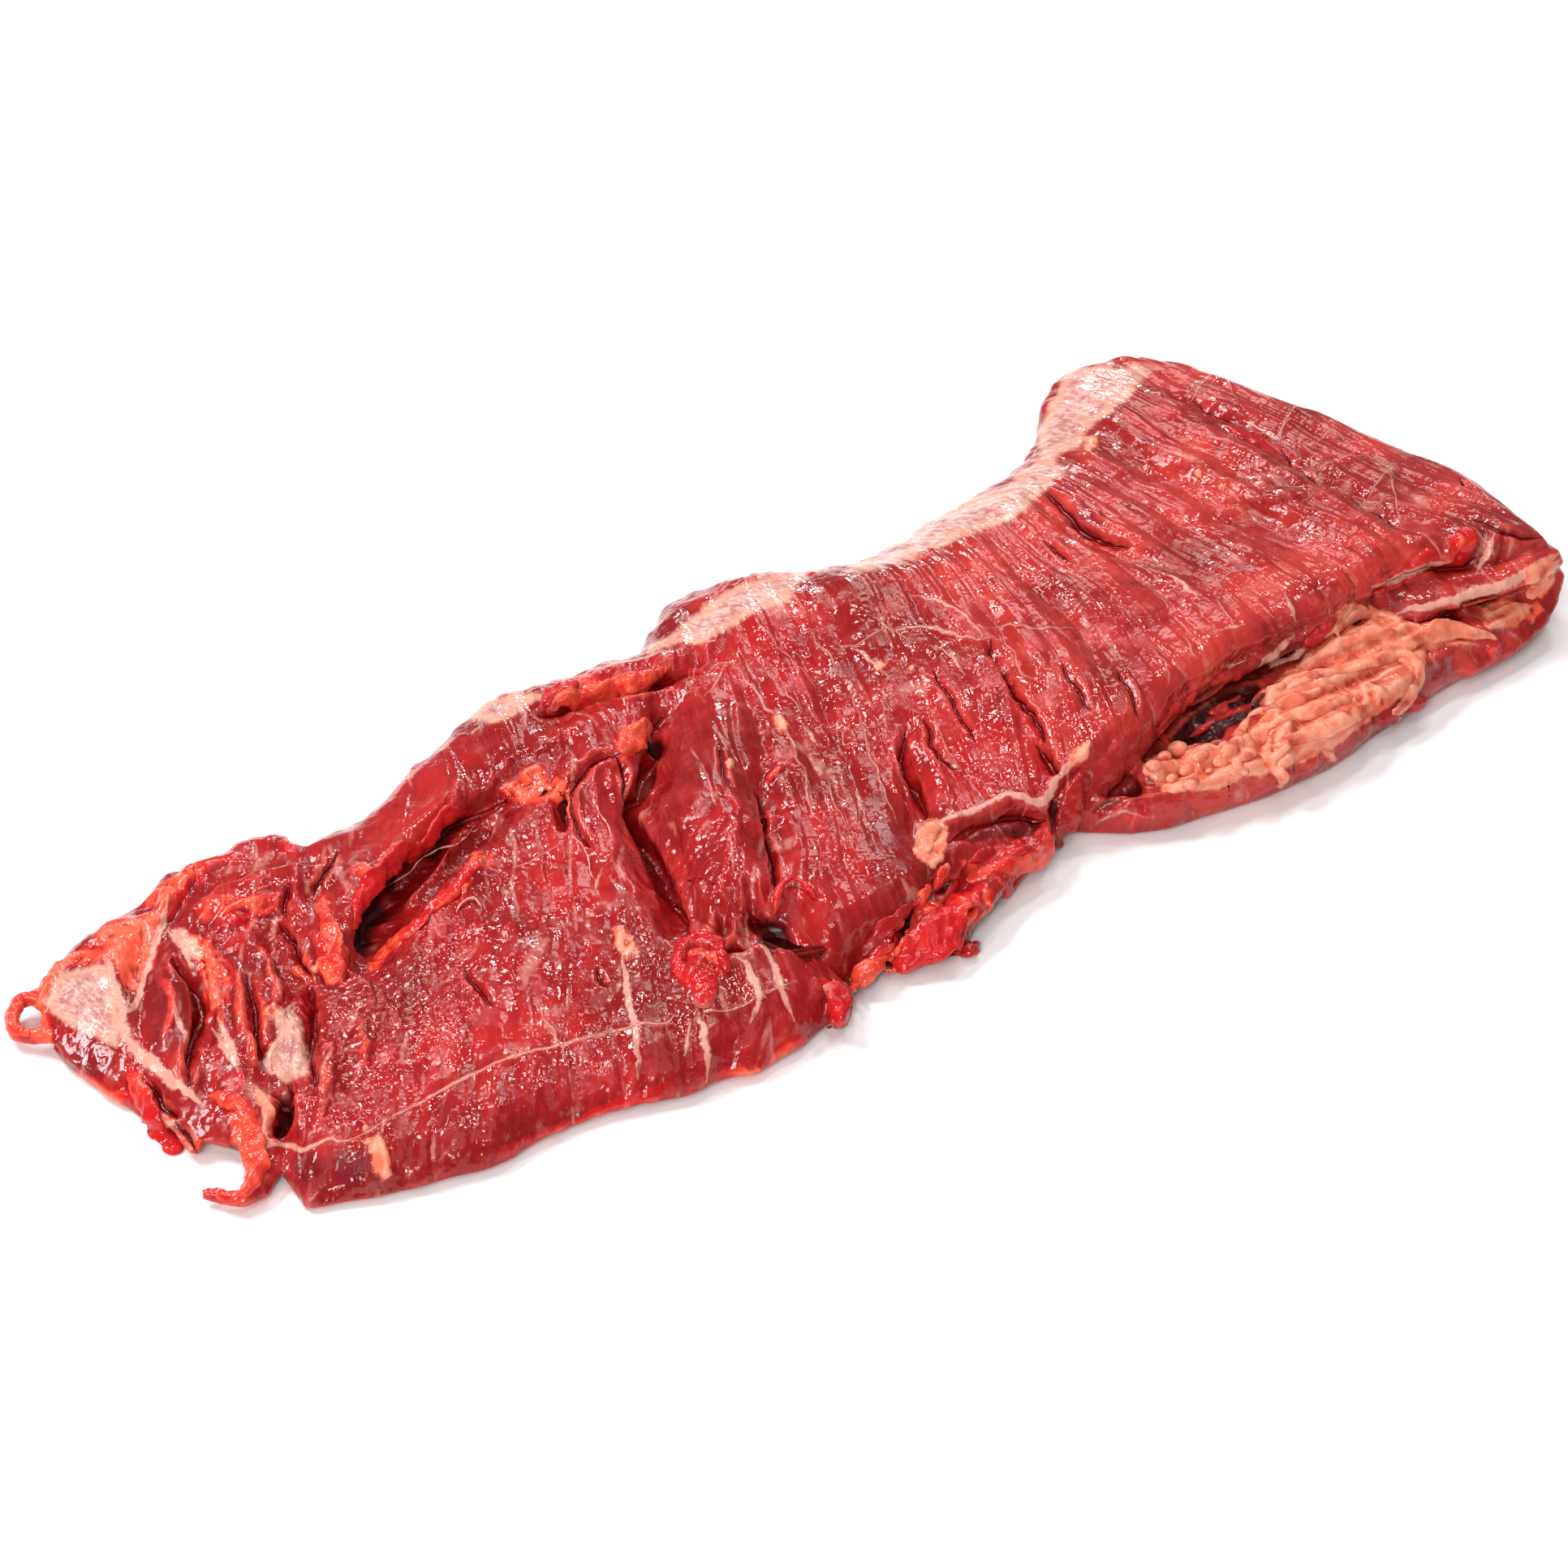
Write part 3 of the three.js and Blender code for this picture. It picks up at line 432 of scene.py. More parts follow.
brightSpots = [  # place, radius and strength of the torn, orange-red flesh
    (165, 1175, 34, 1.0), (215, 1100, 22, 0.8), (240, 1075, 18, 0.9), (130, 1150, 14, 0.7),
    (275, 1110, 30, 0.6), (290, 1160, 20, 0.5), (630, 975, 12, 1.0), (660, 955, 10, 1.0), (775, 915, 22, 0.95),
    (420, 1200, 18, 0.9), (1240, 1050, 40, 0.5), (1140, 1170, 40, 0.6), (1090, 1190, 30, 0.7),
    (860, 1190, 32, 0.9), (1795, 690, 14, 0.7), (1805, 660, 12, 0.7), (1000, 700, 10, 1.0), (890, 720, 10, 0.7),
    (720, 850, 26, 0.9), (300, 1400, 16, 1.0), (262, 1225, 18, 1.0), (300, 1125, 26, 0.7), (330, 1170, 18, 0.6),
    (288, 1330, 20, 0.7), (300, 1365, 18, 0.9), (1735, 697, 10, 0.7), (1883, 754, 10, 1.0),
    (1838, 803, 10, 1.0), (1690, 862, 14, 1.0), (1310, 1030, 14, 0.6), (1400, 1010, 18, 0.5),
    (1600, 950, 16, 0.4), (560, 1100, 20, 0.6), (530, 1150, 20, 0.4), (1030, 1240, 16, 0.8),
    (1190, 1110, 40, 0.6), (1115, 1150, 30, 0.6), (170, 1340, 12, 0.8), (1676, 860, 12, 1.0),
    (1210, 1130, 24, 0.7), (355, 1040, 16, 0.6), (480, 965, 12, 0.7),
]
deepSpots = [  # place, radius and strength of the dark purple flesh, which is painted shade where strongest
    (380, 1442, 26, 1.0), (430, 1438, 26, 0.9), (205, 1230, 24, 0.6), (100, 1300, 26, 0.5),
    (1340, 640, 26, 0.8), (1480, 888, 26, 1.0), (1462, 910, 22, 1.0), (1515, 868, 22, 1.0),
    (1542, 858, 14, 1.0), (1425, 925, 12, 1.0), (1855, 640, 34, 0.7), (1890, 665, 24, 0.7),
    (1760, 730, 18, 0.7), (1720, 742, 12, 0.7), (100, 1315, 26, 0.7), (210, 1275, 26, 0.6),
    (1230, 1018, 30, 0.8), (1115, 1146, 12, 0.9), (1775, 828, 22, 0.8), (950, 1150, 26, 1.0),
    (1085, 1030, 28, 0.6), (1540, 480, 50, 0.35), (1640, 530, 50, 0.35), (1740, 580, 50, 0.35),
    (1830, 650, 50, 0.4), (1590, 760, 30, 0.3), (500, 1200, 30, 0.5), (560, 1380, 30, 0.4),
]

tornPatches = [  # strength and outline; above 1 the flesh turns orange
    (1.5, [(116, 1152), (140, 1140), (200, 1120), (192, 1172), (180, 1212), (168, 1224), (148, 1212),
        (136, 1184)]),
    (1.1, [(214, 1140), (236, 1148), (262, 1160), (285, 1190), (290, 1215), (280, 1240), (262, 1256),
        (246, 1200)]),
    (1.0, [(236, 1120), (262, 1098), (300, 1102), (335, 1110), (342, 1122), (320, 1132), (285, 1128),
        (250, 1140)]),
    (1.2, [(172, 1118), (196, 1092), (224, 1078), (240, 1082), (224, 1105), (200, 1120)]),
    (1.2, [(390, 1100), (402, 1100), (412, 1130), (420, 1160), (424, 1200), (416, 1216), (404, 1200),
        (396, 1150)]),
    (1.1, [(578, 1046), (608, 1050), (610, 1066), (590, 1075), (575, 1095), (550, 1116), (520, 1140),
        (480, 1175), (464, 1200), (456, 1196), (462, 1172), (500, 1142), (530, 1118), (560, 1092),
        (578, 1070)]),
    (1.05, [(618, 968), (640, 960), (665, 950), (672, 962), (650, 975), (645, 985), (630, 978)]),
    (1.3, [(44, 1240), (52, 1210), (70, 1186), (82, 1190), (66, 1214), (58, 1240), (56, 1262), (46, 1262)]),
    (1.1, [(68, 1192), (86, 1174), (110, 1160), (124, 1150), (138, 1178), (128, 1190), (100, 1190)]),
    (1.2, [(60, 1290), (80, 1318), (110, 1338), (150, 1352), (160, 1362), (140, 1362), (100, 1350),
        (72, 1322)]),
    (1.1, [(276, 1360), (296, 1368), (312, 1400), (318, 1440), (310, 1470), (296, 1484), (285, 1470),
        (296, 1440)]),
    (1.2, [(1183, 1060), (1189, 1085), (1224, 1077), (1268, 1068), (1288, 1055), (1292, 1019), (1270, 1040)]),
    (0.9, [(1092, 1195), (1119, 1169), (1145, 1143), (1167, 1107), (1198, 1090), (1224, 1094), (1224, 1116),
        (1207, 1138), (1189, 1160), (1154, 1182), (1114, 1200)]),
    (1.4, [(1048, 1222), (1054, 1200), (1075, 1186), (1095, 1176), (1100, 1182), (1078, 1205), (1062, 1224)]),
    (1.3, [(1017, 1212), (1035, 1212), (1044, 1232), (1040, 1252), (1024, 1262), (1030, 1240)]),
    (0.9, [(840, 1190), (838, 1172), (856, 1158), (880, 1164), (895, 1184), (888, 1210), (876, 1240),
        (862, 1246)]),
    (1.2, [(756, 945), (765, 925), (770, 905), (790, 892), (806, 886), (812, 896), (800, 910), (784, 930)]),
    (1.1, [(628, 985), (640, 962), (668, 956), (700, 958), (704, 985), (698, 1010), (680, 990), (640, 992)]),
    (1.2, [(665, 870), (690, 850), (720, 845), (700, 862), (680, 880)]),
    (1.2, [(740, 850), (780, 840), (815, 822), (820, 812), (822, 828), (800, 842), (760, 858)]),
    (0.75, [(1686, 735), (1690, 720), (1722, 700), (1750, 694), (1780, 680), (1795, 660), (1818, 652),
        (1822, 668), (1810, 690), (1785, 700), (1750, 712), (1715, 728)]),
    (1.3, [(1878, 745), (1895, 738), (1902, 752), (1890, 768), (1876, 764)]),
    (1.2, [(1674, 846), (1690, 842), (1702, 850), (1700, 868), (1684, 882), (1672, 876)]),
]
darkPatches = [  # strength and outline of the deep gaps, which sink and get painted shade
    (1.0, [(1440, 908), (1449, 894), (1480, 868), (1509, 846), (1549, 836), (1562, 850), (1562, 868),
        (1545, 882), (1513, 894), (1501, 918), (1473, 916), (1452, 922)]),
    (0.9, [(442, 1162), (440, 1140), (452, 1118), (466, 1096), (480, 1088), (488, 1104), (480, 1120),
        (472, 1140), (462, 1160), (452, 1172)]),
    (0.8, [(530, 1040), (536, 1022), (548, 1008), (575, 1002), (590, 1000), (580, 1016), (560, 1032),
        (545, 1044)]),
    (0.8, [(486, 1084), (498, 1066), (508, 1060), (506, 1076), (496, 1090)]),
    (1.0, [(796, 920), (802, 905), (815, 906), (818, 918), (806, 924)]),
    (0.9, [(928, 1142), (945, 1130), (968, 1142), (973, 1162), (952, 1168), (934, 1158)]),
    (0.5, [(1181, 1030), (1200, 1008), (1235, 998), (1270, 1000), (1286, 1012), (1270, 1030), (1200, 1040)]),
    (0.9, [(1149, 1085), (1160, 1075), (1180, 1085), (1170, 1100), (1155, 1102)]),
    (1.0, [(1112, 1160), (1118, 1130), (1130, 1120), (1136, 1135), (1125, 1155)]),
    (0.9, [(1083, 1180), (1100, 1172), (1112, 1180), (1098, 1196), (1086, 1196)]),
    (1.0, [(1764, 758), (1785, 754), (1802, 758), (1790, 768), (1768, 766)]),
    (0.8, [(1296, 985), (1308, 980), (1314, 1000), (1306, 1028), (1297, 1026)]),
    (0.6, [(1345, 1002), (1360, 985), (1399, 962), (1408, 975), (1380, 992)]),
    (0.9, [(340, 1350), (352, 1345), (356, 1370), (350, 1395), (342, 1398)]),
    (0.55, [(1424, 896), (1460, 862), (1520, 822), (1600, 790), (1660, 748), (1700, 728), (1700, 740),
        (1650, 780), (1600, 815), (1540, 838), (1480, 868), (1440, 905)]),
]
calmPatches = [  # strength and outline of the smooth muscle
    (0.9, [(172, 1240), (192, 1190), (214, 1184), (234, 1216), (240, 1256), (232, 1304), (224, 1330),
        (195, 1312)]),
    (0.8, [(380, 1040), (430, 985), (500, 950), (545, 940), (560, 975), (535, 1005), (522, 1040), (440, 1070)]),
    (0.6, [(600, 1140), (680, 1080), (740, 1100), (770, 1180), (760, 1250), (640, 1290), (560, 1310),
        (600, 1200)]),
    (0.8, [(790, 905), (830, 870), (890, 850), (935, 900), (940, 960), (900, 965), (860, 985), (830, 1010)]),
    (0.6, [(620, 1040), (680, 1020), (760, 1040), (790, 1090), (800, 1130), (740, 1140), (640, 1130)]),
    (0.8, [(190, 1340), (224, 1352), (256, 1352), (280, 1384), (292, 1420), (256, 1424), (224, 1396)]),
]
pebbleSpots = [  # place, radius and strength of the pebbled flesh
    (415, 1250, 95, 1.0), (520, 1210, 85, 0.9), (430, 1350, 60, 0.7), (865, 1065, 60, 0.8), (820, 975, 25, 0.7),
    (560, 1060, 60, 0.8), (330, 1130, 50, 0.7), (640, 1000, 45, 0.8), (700, 940, 40, 0.6),
    (1180, 1150, 90, 0.5), (860, 1200, 40, 0.5), (500, 1000, 60, 0.5), (505, 1092, 24, 1.0),
    (545, 1062, 26, 1.0), (585, 1030, 24, 1.0), (1475, 855, 26, 1.0), (1530, 815, 28, 1.0),
    (1590, 785, 28, 1.0), (1650, 745, 26, 1.0), (1700, 715, 22, 0.8), (1480, 895, 30, 1.0),
    (1530, 868, 26, 1.0), (250, 1380, 50, 0.4), (660, 1130, 60, 0.4),
]


def smoothPath(pixels, step=1.2):  # a curve through the pixels, with a point each step
    keys = np.array([pixels[0]] + list(pixels) + [pixels[-1]], float)
    found = []
    for i in range(1, len(keys) - 2):
        a, b, c, d = keys[i - 1:i + 3]
        count = max(2, int(np.linalg.norm(c - b) / step))
        t = (np.arange(count) / count)[:, None]
        found.append(0.5 * (2 * b + (c - a) * t + (2 * a - 5 * b + 4 * c - d) * t ** 2
                            + (3 * b - a - 3 * c + d) * t ** 3))
    return np.concatenate(found + [keys[-1:]])


def dropPath(tree, pixels, wobble=0.0):  # points and normals on the meat, in millimetres
    places, normals = [], []
    for index, (across, down) in enumerate(smoothPath(pixels)):
        shift = wobble * noise.noise((across / 14, down / 14, 3.7))
        place, normal, _, _ = tree.ray_cast(eye, photoRay(across + shift, down - shift))
        if place is not None:
            places.append(place)
            normals.append(normal)
    return np.array(places) / mm, np.array(normals)


def besideLine(points, line, normals, reach):  # who is near, how far, on which side, and how far along
    low, high = line.min(0) - reach, line.max(0) + reach
    near = np.where(((points > low) & (points < high)).all(1))[0]
    if not len(near):
        return near, np.zeros(0), np.zeros(0), np.zeros(0)
    some = points[near]
    square = (some ** 2).sum(1)[:, None] + (line ** 2).sum(1)[None, :] - 2 * some @ line.T
    closest = square.argmin(1)
    distance = np.sqrt(np.maximum(square[np.arange(len(near)), closest], 0))
    along = np.gradient(line, axis=0)
    along /= np.linalg.norm(along, axis=1, keepdims=True) + 1e-9
    left = np.cross(normals, along)
    side = ((some - line[closest]) * left[closest]).sum(1)
    ahead = np.abs(((some - line[closest]) * along[closest]).sum(1))
    inner = (closest > 0) & (closest < len(line) - 1)
    distance = np.where(inner, np.sqrt(np.maximum(distance ** 2 - ahead ** 2, 0)), distance)
    keep = distance < reach
    return near[keep], distance[keep], side[keep], closest[keep] / max(1, len(line) - 1)


def insideOutline(shown, outline):  # millimetres inside an outline drawn in pixels, negative outside
    corners = np.array(outline, float)
    depth = np.full(len(shown), -9.0)
    margin = 9 * pixelsPerMm
    near = np.where(((shown > corners.min(0) - margin) & (shown < corners.max(0) + margin)).all(1))[0]
    p = shown[near]
    inside = np.zeros(len(near), bool)
    distance = np.full(len(near), 1e9)
    for a, b in zip(corners, np.roll(corners, -1, 0)):
        t = np.clip(((p - a) @ (b - a)) / ((b - a) @ (b - a)), 0, 1)
        distance = np.minimum(distance, np.linalg.norm(p - a - t[:, None] * (b - a), axis=1))
        crosses = (a[1] > p[:, 1]) != (b[1] > p[:, 1])
        where = a[0] + (p[:, 1] - a[1]) * (b[0] - a[0]) / (b[1] - a[1] + 1e-9)
        inside ^= crosses & (p[:, 0] < where)
    depth[near] = np.clip(np.where(inside, distance, -distance) / pixelsPerMm, -9, 9)
    return depth


def besidePath(points, tree, path, wobble, reach):
    line, normals = dropPath(tree, path, wobble)
    return besideLine(points, line, normals, reach)


def fadeEnds(part, start):  # from little at both ends of a path to 1 in its middle
    return np.sqrt(np.sin(np.pi * (start + (1 - 2 * start) * part)))


def keepNearest(found, near, side, half, gap):  # the side, half breadth and gap of the nearest line so far
    nearer = gap < found[near, 2]
    found[near[nearer]] = np.stack([side, half, gap], 1)[nearer]


def spotMark(shown, spots, outer, inner):  # round marks, each with a soft edge between two shares of its radius
    mark = np.zeros(len(shown))
    for across, down, radius, strength in spots:
        away = np.linalg.norm(shown - (across, down), axis=1)
        mark = np.maximum(mark, strength * smoothStep(outer * radius, inner * radius, away))
    return mark


def deepestInside(shown, outlines):
    depth = np.full(len(shown), -9.0)
    for outline in outlines:
        depth = np.maximum(depth, insideOutline(shown, outline))
    return depth


def patchMark(shown, patches):  # the strongest of the outlines at each point
    mark = np.zeros(len(shown))
    for strength, outline in patches:
        mark = np.maximum(mark, strength * smoothStep(-0.7, 1.0, insideOutline(shown, outline)))
    return mark


# shape of the flesh, in millimetres
fleshForm = {
    # place along X and angle of the grain
    "grainTurns": [(-205, 52), (-60, 58), (40, 63), (100, 86), (190, 94)], "grainCentre": 7.3,
    "warpSizes": (26, 30), "warpReach": (3, 6, 0),  # slow bends of the grain
    "bundleSize": (9, 55, 14), "bundleRise": 0.45,
    "fineBundleSize": (3.2, 40, 8), "fineBundleRise": 0.22,
    "lumpSize": 7, "lumpRise": 0.5, "tornSize": 5, "tornRise": 1.1,
    "pebbleSize": 2.6, "pebbleRise": 0.35,
    "fatFoldSize": (16, 4.5, 7), "fatRise": 1.0, "darkSink": 1.6,
    "leftPart": (-60, -110),   # the flesh gets rougher towards the torn tip
    "freeHeight": (0.4, 2.5),  # nothing moves on the table and all of it above
    "rimWobble": 5, "valleyWobble": 6, "creaseWobble": 2.5, "fatWobble": 3,  # in pixels
}


def grainPlaces(points):  # across and along the grain, and height
    turns = np.array(fleshForm["grainTurns"], float)
    angle = np.radians(np.interp(points[:, 0] - fleshForm["grainCentre"], turns[:, 0], turns[:, 1]))
    across = points[:, 0] * np.sin(angle) - points[:, 1] * np.cos(angle)
    along = points[:, 0] * np.cos(angle) + points[:, 1] * np.sin(angle)
    return np.stack([across, along, points[:, 2]], 1)


def shapeFlesh(piece):
    form = fleshForm
    mesh = piece.data
    points, normals, edges = readPoints(mesh), readNormals(mesh), readEdges(mesh)
    tree = meshTree(mesh)
    wide = blurred(normals, edges, 6)
    wide /= np.linalg.norm(wide, axis=1, keepdims=True) + 1e-9
    shown = photoPlace(points)
    toEye = np.array(eye) / mm - points
    toEye /= np.linalg.norm(toEye, axis=1, keepdims=True)
    facing = smoothStep(-0.1, 0.15, (normals * toEye).sum(1))
    free = smoothStep(*form["freeHeight"], points[:, 2]) * smoothStep(-0.75, -0.2, normals[:, 2])
    rough = smoothStep(*form["leftPart"], points[:, 0])
    torn = facing * spotMark(shown, brightSpots, 1.25, 0.5)
    torn = np.maximum(torn, facing * patchMark(shown, tornPatches))
    deep = facing * spotMark(shown, deepSpots, 1.3, 0.4)
    pebble = facing * spotMark(shown, pebbleSpots, 1.3, 0.5)
    gapShade, calmed = facing * patchMark(shown, darkPatches), facing * patchMark(shown, calmPatches)

    # bundles, lumps and torn flesh
    count = len(points)
    rise = np.zeros(count)
    bends = [noiseAt(points, (size,) * 3, layer) for layer, size in enumerate(form["warpSizes"], 1)]
    warp = np.stack(bends + [np.zeros(count)], 1)
    bent = grainPlaces(points) + warp * form["warpReach"]
    nearest, second = cellsAt(bent, form["bundleSize"], 3)
    rise += form["bundleRise"] * (smoothStep(0, 0.45, second - nearest) - 0.6)
    rise += form["fineBundleRise"] * noiseAt(bent, form["fineBundleSize"], 4) * 2
    lumps = noiseAt(points, (form["lumpSize"],) * 3, 5)
    rise += form["lumpRise"] * lumps * (0.6 + 0.4 * rough)
    rise = rise * (1 - 0.5 * calmed) - form["darkSink"] * gapShade
    ragged = 1 - 2 * np.abs(noiseAt(points + 2 * warp, (form["tornSize"],) * 3, 6))
    rise += form["tornRise"] * (ragged - 0.35) * np.maximum(0.8 * np.minimum(torn, 1), 0.15 * rough)

    # rims, valleys, creases and lines of fat along their paths
    for height, breadth, bright, path in rims:
        near, away, _, part = besidePath(points, tree, path, form["rimWobble"], 3 * breadth)
        fade = fadeEnds(part, 0.06)
        bead = np.sqrt(np.maximum(0, 1 - (away / (1.35 * breadth)) ** 2))
        rise[near] += height * fade * bead * (1 + 0.5 * lumps[near])
        torn[near] = np.maximum(torn[near], bright * fade * smoothStep(1.9 * breadth, 0.8 * breadth, away))
    for depth, breadth, path in valleys:
        near, away, _, part = besidePath(points, tree, path, form["valleyWobble"], 2.5 * breadth)
        rise[near] -= depth * fadeEnds(part, 0.02) * np.exp(-(away / breadth) ** 2)
    shadedGash, fat = (np.tile((4.0, 1.0, 4.0), (count, 1)) for _ in range(2))
    for depth, breadth, lip, path in creases:
        near, away, side, part = besidePath(points, tree, path, form["creaseWobble"], 4 * breadth + 1)
        fade = fadeEnds(part, 0.03)
        rise[near] -= depth * fade * np.exp(-(away / (0.75 * breadth)) ** 2)
        rise[near] += 0.6 * lip * fade * np.exp(-((away - 1.7 * breadth) / (0.9 * breadth)) ** 2)
        keepNearest(shadedGash, near, side, 0.36 * breadth * fade + 0.05, away - 0.36 * breadth)
    for breadth, height, path in fatLines:
        near, away, side, part = besidePath(points, tree, path, form["fatWobble"], breadth + 4)
        fade = fadeEnds(part, 0.04)
        rise[near] += height * fade * np.sqrt(np.maximum(0, 1 - (away / (1.8 * breadth + 0.4)) ** 2))
        keepNearest(fat, near, side, breadth * fade + 0.05, away - breadth)

    # patches of fat and silverskin, then the pebbles beside them
    patch, silver = deepestInside(shown, fatPatches), deepestInside(shown, silverPatches)
    for across, down, radius in fatSpecks:
        away = np.linalg.norm(shown - (across, down), axis=1)
        patch = np.maximum(patch, (radius - away) / pixelsPerMm)
    patch = np.where(facing > 0.3, patch, -9.0)
    silver = np.where(facing > 0.3, silver, -9.0)
    folds = 0.9 - 1.8 * np.abs(noiseAt(points, form["fatFoldSize"], 8))
    rise += form["fatRise"] * smoothStep(-0.5, 1.5, patch) * folds
    centre, _ = cellsAt(points, (form["pebbleSize"],) * 3, 9)
    bare = smoothStep(0.5, -1.0, silver) * smoothStep(0.5, -0.5, patch) * (1 - calmed)
    rise += form["pebbleRise"] * (0.5 - centre) * (0.2 + 1.3 * pebble) * bare
    moved = points + wide * (rise * free)[:, None]
    moved[:, 2] = np.where(points[:, 2] > 0.05, np.maximum(moved[:, 2], 0.02), points[:, 2])
    writePoints(mesh, moved)

    # how hollow the finished surface is, close by and broadly; the paint uses it for painted shade in hollows
    # and painted highlight on ridges
    after = readNormals(mesh)
    inward = ((neighbourMean(moved, edges) - moved) * after).sum(1, keepdims=True)
    sharp = blurred(inward, edges, 1)[:, 0]
    broad = ((blurred(moved, edges, 14) - moved) * after).sum(1)
    marks = {
        "grain": bent, "shadedGash": np.clip(shadedGash, -4, 4), "fatLine": np.clip(fat, -4, 4),
        "fatPatch": np.clip(patch, -4, 4), "silver": np.clip(silver, -4, 4), "torn": np.clip(torn, 0, 1.6),
        "deep": np.clip(deep, 0, 1), "hollow": np.clip(sharp * 4 + broad * 0.8, -1, 1), "roughPart": rough,
        "pebble": pebble * (1 - calmed), "gapShade": gapShade, "calm": calmed,
    }
    return marks, meshTree(mesh)


def closeCuts(mesh):  # flat ends, so that each part is a closed body
    work = bmesh.new()
    work.from_mesh(mesh)
    ends = [edge for edge in work.edges if edge.is_boundary]
    bmesh.ops.holes_fill(work, edges=ends, sides=0)
    bmesh.ops.triangulate(work, faces=[face for face in work.faces if len(face.verts) > 4])
    print("open edges left:", sum(edge.is_boundary for edge in work.edges))
    work.to_mesh(mesh)
    work.free()


def cutMeat(piece, marks):  # the parts keep the whole's normals, so the cuts don't show
    mesh = piece.data
    points, normals = readPoints(mesh), readNormals(mesh)
    middle = np.array([p.center.x for p in mesh.polygons]) / mm
    faces = [p.vertices[:] for p in mesh.polygons]
    limits = (-1000,) + meatForm["cuts"] + (1000,)
    found = []
    for index, name in enumerate(("meatTip", "meatMiddle", "meatFold")):
        own = np.where((middle >= limits[index]) & (middle < limits[index + 1]))[0]
        used = np.unique(np.concatenate([faces[i] for i in own]))
        place = np.zeros(len(points), int)
        place[used] = np.arange(len(used))
        part = bpy.data.meshes.new(name)
        part.from_pydata((points[used] * mm).tolist(), [], [place[list(faces[i])].tolist() for i in own])
        for mark, values in marks.items():
            giveAttribute(part, mark, values[used])
        closeCuts(part)
        part.shade_smooth()
        part.normals_split_custom_set_from_vertices(normals[used].tolist())
        found.append(linkPiece(name, part))
        part.calc_loop_triangles()
        print(name, len(part.loop_triangles), "triangles")
    bpy.data.objects.remove(piece)
    return found


meatMarks, meatTree = shapeFlesh(meat)
meatParts = cutMeat(meat, meatMarks)
for part in meatParts:
    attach(part, "root")
    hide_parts("steak")
print("flesh shaped")


